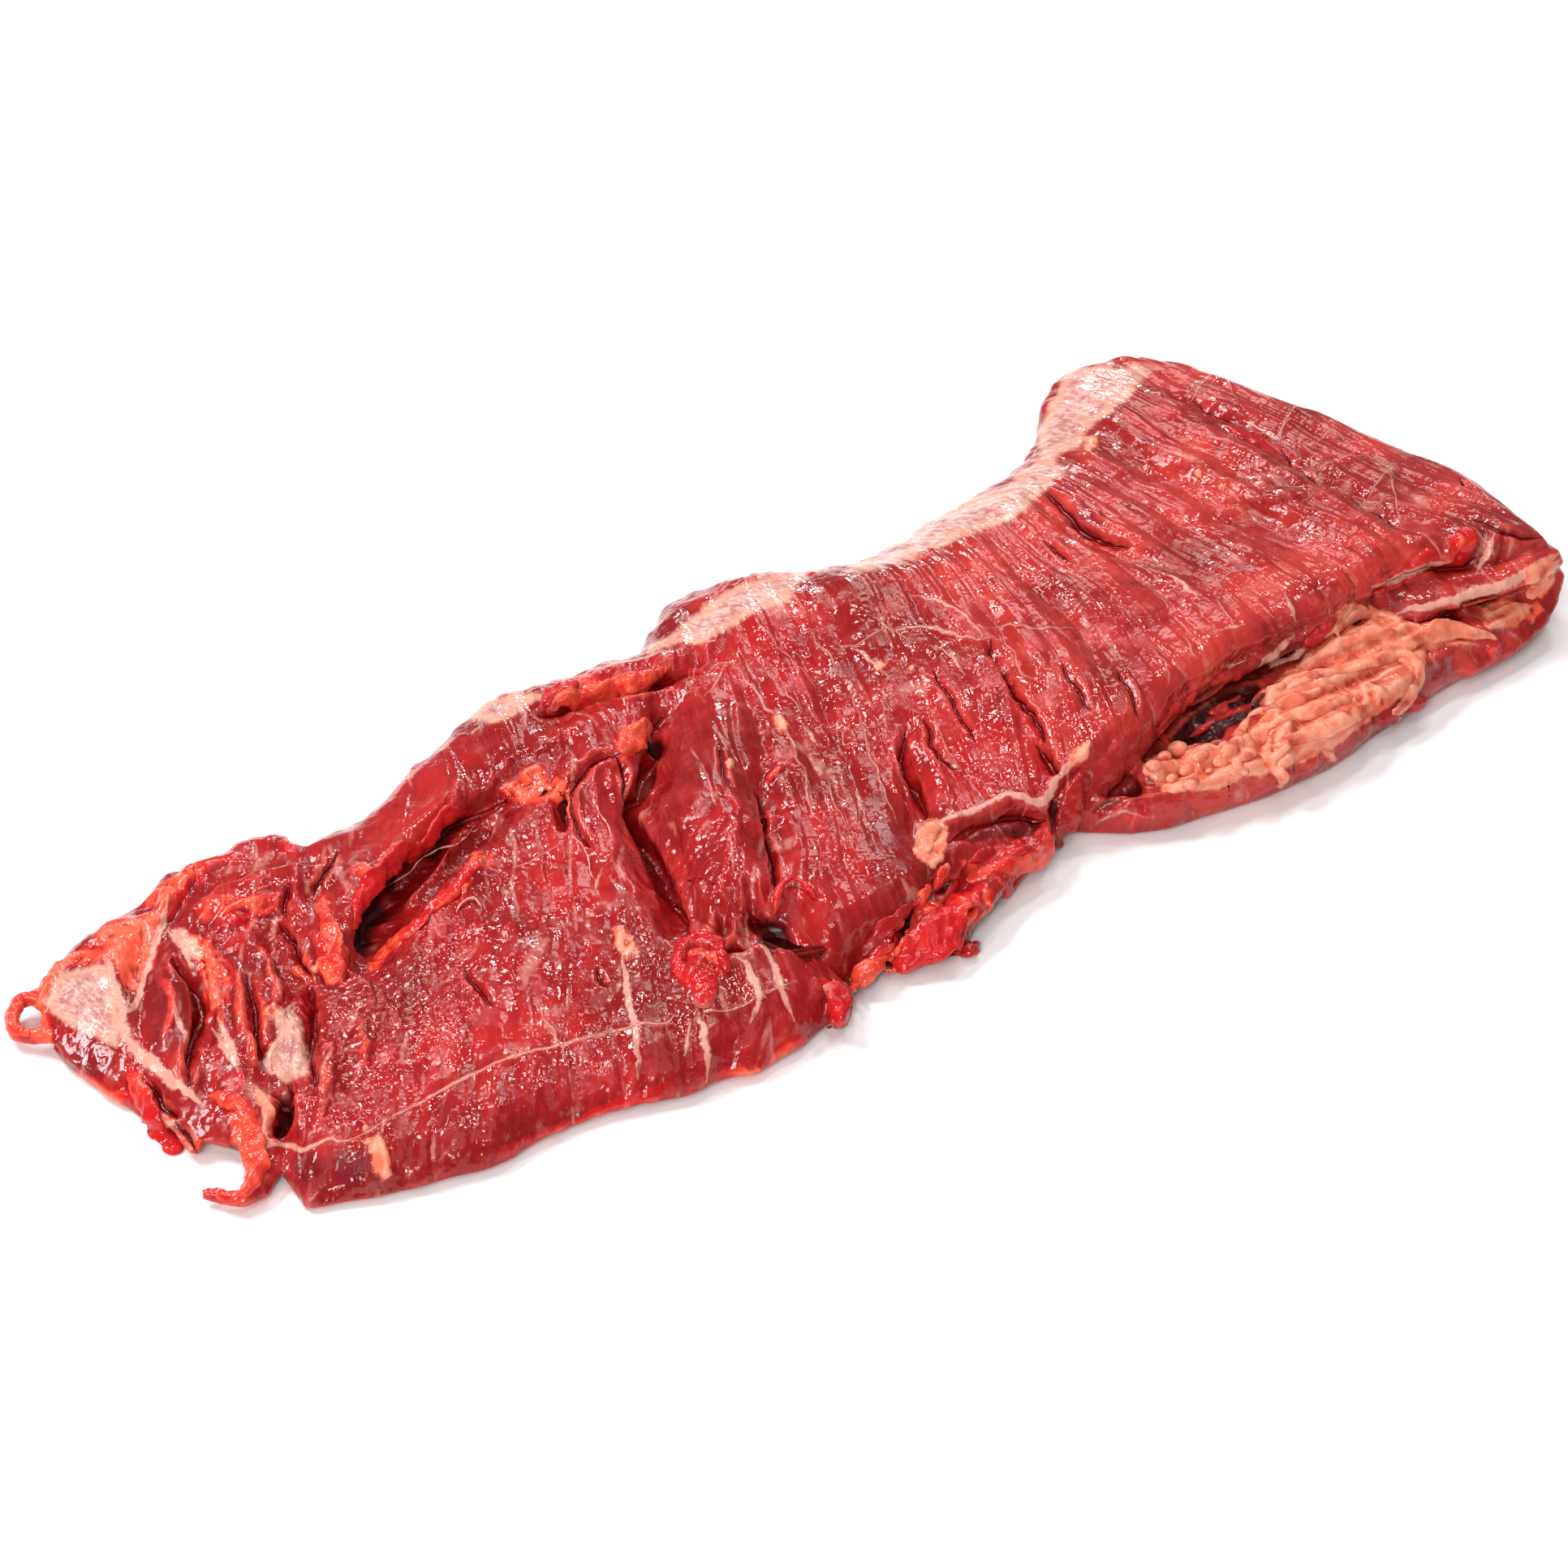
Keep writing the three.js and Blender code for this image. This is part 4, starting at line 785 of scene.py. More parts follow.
# loose strips, flaps and lumps that lie on the meat: path over the photo, then in millimetres the breadth at
# both ends and the middle, the thickness and how far the middle stands off, and how torn the flesh is
tornStrips = {
    "voxel": 0.5, "soften": 2, "unevenSize": 4.0, "unevenRise": 0.42, "sunk": 0.3,
    "strips": [
        ([(1098, 1196), (1130, 1172), (1160, 1140), (1185, 1112), (1212, 1096)], (5, 13, 6), 2.6, 0.8, 0.75),
        ([(1150, 1184), (1180, 1160), (1200, 1135), (1218, 1112)], (2, 6, 3), 2.4, 0.2, 0.45),
        ([(1122, 1150), (1138, 1128), (1156, 1108)], (2, 5, 2.5), 2.0, 1.4, 1.0),
        ([(1128, 1122), (1134, 1104), (1146, 1092)], (2, 3.5, 2), 2.0, 1.2, 0.95),
        ([(1150, 1098), (1160, 1080), (1172, 1064)], (2, 4.5, 2.5), 2.0, 1.0, 0.9),
        ([(1062, 1180), (1080, 1152), (1104, 1132), (1124, 1112)], (3, 5, 3.5), 2.2, 0.8, 0.5),
        ([(1050, 1220), (1062, 1202), (1082, 1186), (1098, 1174)], (3, 4.5, 2), 2.0, 1.0, 1.05),
        ([(1190, 1082), (1225, 1073), (1262, 1064), (1284, 1050), (1291, 1022)], (4, 7, 5), 2.6, 0.8, 0.95),
        ([(1192, 1064), (1225, 1050), (1262, 1042), (1284, 1025)], (3, 6, 4), 1.8, 0.2, 0.5),
        ([(1182, 1176), (1196, 1168), (1208, 1160)], (2, 4.5, 1.5), 2.0, 0.4, 0.7),
        ([(1228, 1082), (1240, 1090), (1245, 1103)], (2.5, 4.5, 2.5), 2.0, 0.3, 0.5),
        ([(1300, 1045), (1312, 1010), (1326, 975), (1345, 950)], (4, 7, 5), 2.6, 0.6, 0.15),
        ([(672, 878), (690, 862), (712, 862), (745, 852), (780, 842), (808, 832), (820, 818)], (4, 8, 2), 2.8,
            1.2, 1.0),
        ([(668, 872), (690, 852), (708, 840)], (4, 7, 4), 3, 0.8, 0.6),
        ([(765, 930), (778, 912), (795, 900), (800, 885)], (4, 8, 4), 3, 0.8, 1.0),
        ([(950, 1137), (956, 1118), (965, 1100), (972, 1090), (986, 1092), (1000, 1103), (1008, 1114)],
            (1.6, 2.4, 1.2), 1.6, 2.2, 0.75),
        ([(846, 1212), (836, 1190), (840, 1170), (858, 1160), (878, 1166), (894, 1184), (892, 1200)], (4, 6, 3),
            3, 1.0, 0.7),
        ([(848, 1182), (862, 1200), (870, 1222), (868, 1246)], (5, 8, 4), 2.4, 0.4, 0.6),
        ([(1012, 1214), (1027, 1219), (1038, 1235), (1032, 1254), (1020, 1266)], (3, 6, 3), 2.2, 0.6, 0.7),
        ([(46, 1232), (30, 1228), (18, 1238), (14, 1252), (22, 1268), (42, 1274)], (3.4, 3.6, 3.4), 2.8, 0.2,
            0.9),
        ([(251, 1352), (280, 1352), (302, 1374), (314, 1405), (316, 1433), (308, 1463), (298, 1480)],
            (3, 6, 4.5), 2.4, 0.8, 0.95),
        ([(298, 1478), (278, 1478), (262, 1468), (248, 1464)], (3, 3.4, 2), 2.2, 0.2, 0.9),
        ([(160, 1316), (172, 1345), (186, 1372), (202, 1398), (220, 1424)], (4, 6.5, 5), 2.0, 0.5, 0.85),
        ([(592, 996), (568, 1000), (546, 1006), (532, 1024), (516, 1044), (494, 1052), (476, 1070), (456, 1090),
            (444, 1116), (434, 1146)], (4, 6, 4), 2.2, 1.0, 0.75),
        ([(1462, 910), (1490, 893), (1520, 880), (1548, 868)], (1.5, 3, 1.5), 1.6, 1.2, 0.5),
        ([(1488, 880), (1512, 868), (1530, 856)], (1.2, 2.4, 1.2), 1.4, 0.8, 0.4),
        ([(1424, 900), (1440, 884), (1462, 866), (1476, 852)], (2, 4, 2), 2.0, 0.3, 0.5),
        ([(1490, 846), (1520, 828), (1556, 812)], (2, 4, 2), 2.0, 0.3, 0.45),
        ([(1600, 800), (1626, 780), (1648, 760)], (2, 4, 2), 2.0, 0.3, 0.5),
        ([(394, 1104), (402, 1130), (410, 1160), (416, 1186), (420, 1210)], (3, 4.4, 3), 2.0, 0.6, 0.95),
        ([(606, 1056), (590, 1052), (580, 1068), (564, 1092), (544, 1110), (524, 1130), (500, 1150),
            (478, 1166), (462, 1184), (456, 1202)], (3, 4.5, 3), 1.8, 0.5, 0.9),
    ],
}
fatPieces = {
    "voxel": 0.5, "soften": 5, "unevenSize": 5.0, "unevenRise": 0.22, "sunk": 0.45,
    "strips": [
        ([(1590, 905), (1580, 925), (1565, 940), (1575, 955), (1585, 960)], (2, 3, 2), 2.2, 1.0, 0),
        ([(1530, 920), (1525, 945), (1540, 955)], (2, 3, 2), 2.2, 0.8, 0),
        ([(1572, 945), (1580, 958), (1578, 972)], (2, 3.4, 1.6), 2.0, 0.6, 0),
        ([(1628, 926), (1640, 932), (1646, 940)], (1.6, 2.4, 1.2), 1.6, 0.4, 0),
        ([(1558, 905), (1566, 918), (1556, 934), (1566, 946)], (1.6, 2.6, 1.6), 1.8, 1.0, 0),
        ([(1556, 900), (1590, 884), (1630, 872), (1672, 856)], (2, 5, 3), 2.0, 0.4, 0),
        ([(1566, 925), (1600, 908), (1640, 895), (1680, 876), (1700, 866)], (2.5, 6, 3), 2.2, 0.4, 0),
        ([(1530, 884), (1570, 870), (1610, 858), (1650, 846)], (1.5, 4, 2), 1.8, 0.4, 0),
        ([(1580, 850), (1620, 832), (1660, 822), (1700, 812), (1740, 800)], (2, 6, 3), 2.2, 0.5, 0),
        ([(1610, 812), (1650, 795), (1690, 782), (1730, 778)], (2, 6, 3), 2.2, 0.4, 0),
        ([(1640, 780), (1670, 760), (1700, 756), (1730, 766)], (2, 5, 3), 2.0, 0.3, 0),
        ([(1700, 800), (1740, 790), (1780, 776), (1820, 780), (1850, 792)], (3, 6, 2), 2.6, 0.8, 0),
        ([(1700, 812), (1735, 806), (1750, 828), (1740, 856), (1712, 884)], (2, 5, 2.5), 2.4, 0.5, 0),
        ([(1540, 882), (1528, 905), (1520, 925), (1530, 940)], (2, 3.4, 2.4), 2.2, 0.8, 0),
        ([(1132, 1055), (1145, 1030), (1160, 1015)], (4, 6, 3), 2, 0.3, 0),
        ([(1880, 738), (1892, 724), (1902, 710), (1908, 698)], (3, 5, 3), 2.2, 0.2, 0),
        ([(314, 1338), (328, 1362), (332, 1385), (326, 1402)], (1.6, 3.2, 1.6), 1.8, 0.6, 0),
    ],
    "lobes": [
        (1420, 945), (1435, 935), (1452, 925), (1462, 946), (1478, 932), (1490, 952), (1504, 940), (1520, 952),
        (1445, 962), (1466, 966), (1538, 932), (1512, 926),
    ],
    "lobeSize": 3.6, "lobeRise": 0.6,
}
whiteThreads = {
    "voxel": 0.2, "soften": 1, "unevenSize": 2.0, "unevenRise": 0.12, "sunk": 0.3,
    "strips": [
        ([(470, 1095), (485, 1085), (500, 1077), (510, 1062), (525, 1057), (545, 1050), (565, 1040),
            (580, 1022), (590, 1015)], (0.4, 0.6, 0.3), 0.5, 1.2, 0),
        ([(735, 990), (740, 1005), (750, 1025), (755, 1035)], (0.3, 0.5, 0.3), 0.4, 0.4, 0),
        ([(705, 1030), (720, 1045), (725, 1070), (735, 1090)], (0.3, 0.5, 0.3), 0.4, 0.4, 0),
        ([(560, 1124), (566, 1114), (576, 1107), (586, 1107), (595, 1120)], (0.4, 0.8, 0.3), 0.7, 0.8, 0),
    ],
}


def laidCentre(tree, pixels):  # points of a strip's middle line, one each half millimetre, with the way up
    places, ups = [], []
    for across, down in smoothPath(pixels, 2.5):
        ray = photoRay(across, down)
        place, normal, _, _ = tree.ray_cast(eye, ray)
        if place is None:  # beside the meat, on the table
            place, normal = eye - ray * (eye.z / ray.z), Vector((0, 0, 1))
        places.append(place)
        ups.append(normal)
    places, ups = np.array(places) / mm, np.array(ups)
    for _ in range(5):
        places[1:-1] = 0.25 * places[:-2] + 0.5 * places[1:-1] + 0.25 * places[2:]
        ups[1:-1] = 0.25 * ups[:-2] + 0.5 * ups[1:-1] + 0.25 * ups[2:]
    return places, ups / np.linalg.norm(ups, axis=1, keepdims=True)


def stripMesh(name, centre, ups, breadths, thick, stand, sunk, sides=12):
    along = np.gradient(centre, axis=0)
    along /= np.linalg.norm(along, axis=1, keepdims=True) + 1e-9
    across = np.cross(ups, along)
    across /= np.linalg.norm(across, axis=1, keepdims=True) + 1e-9
    part = np.linspace(0, 1, len(centre))
    breadth = np.interp(part, (0, 0.5, 1), breadths) / 2
    breadth *= 1 + 0.35 * np.array([noise.noise(p) for p in (centre / 4.0).tolist()])
    ending = np.sqrt(np.clip(np.minimum(part, 1 - part) / 0.16, 0.02, 1))
    middle = centre + ups * (stand * np.sin(np.pi * part) - sunk * thick / 2)[:, None]
    middle += across * (0.9 * np.array([noise.noise(p) for p in (centre / 6.0 + 9.3).tolist()]))[:, None]
    turn = np.arange(sides) / sides * 2 * np.pi
    ring = (across[:, None, :] * (np.cos(turn) * (breadth * ending)[:, None])[:, :, None]
            + ups[:, None, :] * (np.sin(turn) * (thick / 2 * ending)[:, None])[:, :, None])
    points = (middle[:, None, :] + ring).reshape(-1, 3)
    faces = []
    for start in range(0, len(points) - sides, sides):
        for i in range(sides):
            after = (i + 1) % sides
            faces.append((start + i, start + sides + i, start + sides + after, start + after))
    faces += [tuple(range(sides)), tuple(reversed(range(len(points) - sides, len(points))))]
    mesh = bpy.data.meshes.new(name)
    mesh.from_pydata((points * mm).tolist(), [], faces)
    return linkPiece(name, mesh)


def growPiece(name, values, tree, material):
    parts, lines, tears = [], [], []
    for index, (pixels, breadths, thick, stand, tear) in enumerate(values["strips"]):
        centre, ups = laidCentre(tree, pixels)
        parts.append(stripMesh(f"{name}{index}", centre, ups, breadths, thick, stand, values["sunk"]))
        lines.append(centre)
        tears.append(np.full(len(centre), float(tear)))
    for across, down in values.get("lobes", []):
        place, normal, _, _ = tree.ray_cast(eye, photoRay(across, down))
        size = values["lobeSize"] * (1 + 0.8 * noise.noise((across / 5, down / 5, 0)))
        bpy.ops.object.select_all(action="DESELECT")
        centre = place + normal * (values["lobeRise"] * mm)
        bpy.ops.mesh.primitive_ico_sphere_add(subdivisions=3, radius=size / 2 * mm, location=centre)
        lobe = bpy.context.object
        lobe.scale = (1.35, 1, 0.7)
        bpy.ops.object.transform_apply(location=True, rotation=True, scale=True)
        parts.append(lobe)
        lines.append(np.array([place]) / mm)
        tears.append(np.zeros(1))
    bpy.ops.object.select_all(action="DESELECT")
    for part in parts:
        part.select_set(True)
    bpy.context.view_layer.objects.active = parts[0]
    bpy.ops.object.join()
    piece = bpy.context.object
    piece.name = name
    applyModifier(piece, "REMESH", mode="VOXEL", voxel_size=values["voxel"] * mm)
    applyModifier(piece, "SMOOTH", factor=0.5, iterations=values["soften"])
    mesh = piece.data
    points, normals = readPoints(mesh), readNormals(mesh)
    uneven = noiseAt(points, (values["unevenSize"],) * 3, 11)
    uneven += 0.6 * noiseAt(points, (values["unevenSize"] / 2.2,) * 3, 12)
    points += normals * (values["unevenRise"] * 1.6 * uneven)[:, None]
    points[:, 2] = np.maximum(points[:, 2], 0.02)
    writePoints(mesh, points)
    line = np.concatenate(lines)
    finder = KDTree(len(line))
    for index, place in enumerate(line.tolist()):
        finder.insert(place, index)
    finder.balance()
    nearest = np.array([finder.find(p)[1] for p in points.tolist()])
    offset = points - line[nearest]
    # how hollow the surface is, for the painted shade in hollows and painted highlight on ridges
    inward = ((blurred(points, readEdges(mesh), 5) - points) * readNormals(mesh)).sum(1)
    marks = {
        "grain": np.stack([offset[:, 0] + offset[:, 1], nearest * 0.5, offset[:, 2]], 1),
        "torn": np.concatenate(tears)[nearest], "hollow": np.clip(inward * 2, -1, 1),
    }
    for absent in ("shadedGash", "fatLine"):
        marks[absent] = np.tile((4.0, 1.0, 4.0), (len(points), 1))
    for absent in ("fatPatch", "silver"):
        marks[absent] = np.full(len(points), -4.0)
    for absent in ("deep", "roughPart", "pebble", "gapShade", "calm"):
        marks[absent] = np.zeros(len(points))
    for mark, amount in marks.items():
        giveAttribute(mesh, mark, amount)
    mesh.shade_smooth()
    mesh.materials.clear()
    mesh.materials.append(material)
    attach(piece, "root")
    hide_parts("steak")
    print(name, len(mesh.polygons), "faces")
    return piece


# shader maths written as sums
class Signal:
    def __init__(self, paint, socket):
        self.paint, self.socket = paint, socket

    def calc(self, operation, *others):
        values = dict(enumerate((self,) + others))
        return self.paint.add("ShaderNodeMath", {"operation": operation}, values)

    def __add__(self, other): return self.calc("ADD", other)
    def __radd__(self, other): return self.calc("ADD", other)
    def __sub__(self, other): return self.calc("SUBTRACT", other)
    def __rsub__(self, other): return self.calc("MULTIPLY", -1.0).calc("ADD", other)
    def __mul__(self, other): return self.calc("MULTIPLY", other)
    def __rmul__(self, other): return self.calc("MULTIPLY", other)
    def __truediv__(self, other): return self.calc("DIVIDE", other)
    def __abs__(self): return self.calc("ABSOLUTE")


class Paint:  # a material and its nodes
    def __init__(self, name):
        self.material = bpy.data.materials.new(name)
        self.material.use_nodes = True
        self.tree = self.material.node_tree
        self.shader = self.tree.nodes["Principled BSDF"]

    def add(self, kind, settings, values, output=0):
        node = self.tree.nodes.new(kind)
        for name, value in settings.items():
            setattr(node, name, value)
        for name, value in values.items():
            self.feed(node.inputs[name], value)
        return Signal(self, node.outputs[output])

    def feed(self, socket, value):
        if isinstance(value, Signal):
            self.tree.links.new(value.socket, socket)
        else:
            socket.default_value = value

    def stretch(self, vector, factors):
        return self.add("ShaderNodeVectorMath", {"operation": "MULTIPLY"}, {0: vector, 1: factors})

    def shift(self, vector, other):
        return self.add("ShaderNodeVectorMath", {"operation": "ADD"}, {0: vector, 1: other})

    def place(self):  # in millimetres
        return self.stretch(self.add("ShaderNodeTexCoord", {}, {}, "Object"), (1000, 1000, 1000))

    def sized(self, vector, size):  # so that one noise cell has this size, or these three sizes
        sizes = size if isinstance(size, tuple) else (size,) * 3
        return self.stretch(vector, [1 / s for s in sizes])

    def noise(self, vector, size, detail=2.0, rough=0.5, output="Fac"):
        values = {"Vector": self.sized(vector, size), "Scale": 1.0, "Detail": detail, "Roughness": rough}
        return self.add("ShaderNodeTexNoise", {}, values, output)

    def cells(self, vector, size, feature="F1"):
        values = {"Vector": self.sized(vector, size), "Scale": 1.0}
        return self.add("ShaderNodeTexVoronoi", {"feature": feature}, values, "Distance")

    def bump(self, height):
        return self.add("ShaderNodeBump", {}, {"Strength": 1.0, "Distance": mm, "Height": height})

    def ramp(self, value, low, high):  # 0 at low, 1 at high
        values = {"Value": value, "From Min": low, "From Max": high}
        return self.add("ShaderNodeMapRange", {"interpolation_type": "SMOOTHSTEP"}, values)

    def blend(self, factor, first, second):
        return self.add("ShaderNodeMix", {"data_type": "RGBA"}, {0: factor, 6: first, 7: second}, 2)

    def read(self, name, output="Fac"):
        return self.add("ShaderNodeAttribute", {"attribute_name": name}, {}, output)

    def split(self, vector):
        node = self.add("ShaderNodeSeparateXYZ", {}, {0: vector})
        return [Signal(self, socket) for socket in node.socket.node.outputs]

    def finish(self, **values):
        for name, value in values.items():
            self.feed(self.shader.inputs[name.replace("_", " ")], value)
        return self.material


def tint(code):  # a colour as a web code, made linear
    parts = [int(code[i:i + 2], 16) / 255 for i in (1, 3, 5)]
    return tuple(p / 12.92 if p <= 0.04045 else ((p + 0.055) / 1.055) ** 2.4 for p in parts) + (1.0,)


meatLook = {
    "colours": {
        # the pink red is partly pink tone, partly painted sheen and painted highlight
        "red": "#ae1f1e", "deepRed": "#7e1013", "pinkAndSheen": "#cc473b", "purple": "#5e1a26", "bright": "#c21a1c",
        # the crease colour on the next line is painted shade
        "brightRimAndHighlight": "#dd4a32", "coral": "#ea6347", "shadedGash": "#74060a", "gapShade": "#34050a",
        # the pale fat colour is partly painted highlight and the shaded fat colour partly painted shade
        "fat": "#d8684a", "fatPaleAndHighlight": "#e59476", "fatStreakAndShade": "#9c2a1c", "line": "#d69684",
        "silver": "#dfb8aa", "silverShade": "#b87470", "silverRim": "#dd9c80",
        # the film colour is partly membrane, partly painted glints
        "filmAndGlint": "#d9827a", "seam": "#d08a7c",
    },
    "sizes": {  # of the noises in millimetres, evenly or across the grain, along it and in height
        "broad": 30, "wide": 22, "patchy": 8, "fine": 1.5, "warp": 12, "broken": 4, "pebble": 2.1, "wet": 6,
        "fibre": (0.8, 11, 3), "cord": (2.8, 22, 8), "border": (9, 75, 40), "seam": (7, 12, 9),
        "filmAndGlint": (2.4, 10, 5), "filmHere": 17, "streaks": (0.9, 3.4, 2),
    },
    "bumps": {  # in millimetres
        "fibre": 0.06, "cord": 0.6, "fine": 0.06, "patchy": 1.2, "pebble": 0.05, "pebbleMore": 0.6,
        "border": 0.22, "shadedGash": 0.6, "fat": 0.2, "seam": 0.06,
    },
    "rightSheen": (10, 90),  # along X a painted pink sheen grows towards the fold
    "wet": 0.09, "dryMore": 0.2, "fatMore": 0.12, "darkMore": 0.2,  # roughness
    "finish": {
        "IOR": 1.4, "Subsurface_Weight": 0.08, "Subsurface_Radius": (1.0, 0.2, 0.12), "Subsurface_Scale": 0.002,
    },
}


def meatMaterial():
    paint = Paint("wetMeat")
    look = {name: tint(code) for name, code in meatLook["colours"].items()}
    sizes, bumps = meatLook["sizes"], meatLook["bumps"]
    place = paint.place()
    grain = paint.read("grain", "Vector")
    torn, deep, hollow, rough = (paint.read(name) for name in ("torn", "deep", "hollow", "roughPart"))
    calm = paint.read("calm")
    rightSheen = paint.ramp(paint.split(place)[0], *meatLook["rightSheen"])

    # noises, even ones and some that follow the grain
    broad = paint.noise(place, sizes["broad"], 2)
    wide = paint.noise(place, sizes["wide"], 1)
    patchy = paint.noise(place, sizes["patchy"], 3, 0.55)
    fine = paint.noise(place, sizes["fine"], 2)
    warp = paint.noise(place, sizes["warp"], output="Color")
    warp = paint.shift(paint.stretch(warp, (1.4, 1.4, 0)), (-0.7, -0.7, 0))
    bent = paint.shift(grain, warp)
    fibre = paint.noise(bent, sizes["fibre"], 3, 0.6)
    cord = paint.noise(bent, sizes["cord"], 2)
    border = paint.cells(bent, sizes["border"], "DISTANCE_TO_EDGE") * sizes["border"][0]
    border = border + (fine - 0.5) * 0.5

    # red flesh, dark purple flesh that is painted shade where deepest, torn rims, and a pink painted sheen
    # towards the fold and painted highlight on ridges
    colour = paint.blend(paint.ramp(broad, 0.3, 0.7), look["deepRed"], look["red"])
    tornMask = paint.ramp(torn + (patchy - 0.5) * 0.9 + (fibre - 0.5) * 0.5, 0.3, 0.8)
    # coral torn flesh, partly painted highlight on convex edges
    coralMask = paint.ramp(torn * 0.9 + (patchy - 0.5) * 1.3 + (fine - 0.5) * 0.6 - hollow * 0.6, 1.0, 1.55)
    for mask, shade in (
            # random pink patches, stronger towards the fold as painted sheen
            (paint.ramp(patchy, 0.52, 0.75) * (0.25 + 0.3 * rightSheen), "pinkAndSheen"),
            (paint.ramp(cord, 0.45, 0.7) * (0.28 + 0.3 * rough), "deepRed"),
            # painted sheen towards the fold
            (rightSheen * (0.15 + 0.35 * paint.ramp(broad, 0.4, 0.65)), "pinkAndSheen"),
            (paint.ramp(patchy, 0.48, 0.3) * 0.6, "deepRed"),
            (paint.ramp(fibre, 0.52, 0.8) * 0.35, "pinkAndSheen"),
            (deep * (0.5 + 0.4 * fibre), "purple"),
            # painted shade where the purple flesh lies deepest
            (paint.ramp(deep, 0.85, 1.0) * 0.6, "shadedGash"),
            # painted highlight on ridges
            (paint.ramp(hollow, -0.1, -0.6) * 0.35, "pinkAndSheen"),
            (tornMask, "bright"),
            # torn rims, partly painted highlight on convex edges
            (paint.ramp(torn + (patchy - 0.5) * 0.8 - hollow * 0.3, 0.8, 1.15), "brightRimAndHighlight"),
            # painted highlight on convex rims
            (paint.ramp(hollow, -0.35, -0.9) * (0.2 + 0.5 * rough), "brightRimAndHighlight"),
            (coralMask * 0.85, "coral")):
        colour = paint.blend(mask, colour, look[shade])

    # pale seams between the bundles, painted shade in the grooves between them, and a thin film over some of
    # them that is partly painted glints
    seamHere = paint.ramp(paint.noise(grain, sizes["seam"], 3), 0.5, 0.66)
    seamLine = (1 - paint.ramp(border, 0.1, 0.42)) * seamHere
    # painted shade in the dark grooves between the bundles
    seamGrooveShade = (1 - paint.ramp(border, 0.1, 0.6)) * (1 - seamHere) * paint.ramp(cord, 0.4, 0.62)
    filmAndGlint = paint.ramp(paint.noise(bent, sizes["filmAndGlint"], 3, 0.6), 0.55, 0.72)
    filmHere = paint.ramp(paint.noise(place, sizes["filmHere"], 2), 0.42, 0.62)
    filmAndGlintMask = filmAndGlint * filmHere * (0.1 + 0.2 * rough) * (1 - tornMask * 0.7) * (1 - 0.8 * calm)

    # painted shade in the gashes, the hollows and the dark gaps
    gashSide, gashBreadth, gashGap = paint.split(paint.read("shadedGash", "Vector"))
    gashEdge = abs(gashSide) / gashBreadth + (fine - 0.5) * 0.5
    shadedGashMask = (1 - paint.ramp(gashEdge, 0.2, 1.3)) * (1 - paint.ramp(gashGap, 0.3, 1.1))
    # painted shade in the deep gaps
    gapShadeMask = paint.ramp(paint.read("gapShade") + (patchy - 0.5) * 0.6, 0.15, 0.9) * 0.95
    for mask, shade in (
            (seamLine * 0.5, "seam"), (seamGrooveShade * 0.16, "shadedGash"), (filmAndGlintMask, "filmAndGlint"),
            (paint.ramp(hollow, 0.15, 0.75) * 0.75, "shadedGash"), (shadedGashMask * 0.8, "shadedGash"), (gapShadeMask, "gapShade")):
        colour = paint.blend(mask, colour, look[shade])

    # silverskin
    silver = paint.read("silver") + (patchy - 0.5) * 3.5 + (fibre - 0.5) * 1.5
    silverMask = paint.ramp(silver, -0.8, 1.0)
    streaks = paint.noise(place, sizes["streaks"], 3, 0.6)
    streaky = paint.ramp(streaks + (patchy - 0.5) * 0.6, 0.3, 0.66)
    colour = paint.blend(silverMask * 0.85, colour, paint.blend(streaky, look["silverShade"], look["silver"]))
    silverRim = silverMask * (1 - paint.ramp(silver, 0.6, 2.6))
    colour = paint.blend(silverRim * 0.7, colour, look["silverRim"])

    # lines and patches of fat
    fatSide, fatBreadth, fatGap = paint.split(paint.read("fatLine", "Vector"))
    fatEdge = abs(fatSide) / fatBreadth + (fine - 0.5) * 1.4 + (patchy - 0.5) * 1.6
    fatMask = (1 - paint.ramp(fatEdge, 0.5, 1.2)) * (1 - paint.ramp(fatGap, 0.5, 1.2))
    broken = paint.ramp(paint.noise(place, sizes["broken"], 2), 0.34, 0.5)
    fatMask = fatMask * (0.3 + 0.7 * paint.ramp(fatBreadth, 0.4, 0.8).calc("MAXIMUM", broken))
    colour = paint.blend(fatMask * (0.45 + 0.5 * paint.ramp(fatBreadth, 0.2, 1.1)), colour, look["line"])
    fatPatch = paint.ramp(paint.read("fatPatch") + (fine - 0.5) * 1.6 + (patchy - 0.5) * 3.0, -0.3, 0.4)
    # fat patches: paler on ridges as painted highlight, darker in hollows and streaks as painted shade
    fatColour = paint.blend(paint.ramp(patchy - hollow * 0.6, 0.45, 0.8), look["fat"], look["fatPaleAndHighlight"])
    fatStreakAndShade = paint.ramp(hollow + (streaks - 0.5) * 1.4, 0.1, 0.6)
    fatColour = paint.blend(fatStreakAndShade * 0.9, fatColour, look["fatStreakAndShade"])
    colour = paint.blend(fatPatch * 0.92, colour, fatColour)
    fatMask = fatMask.calc("MAXIMUM", fatPatch)

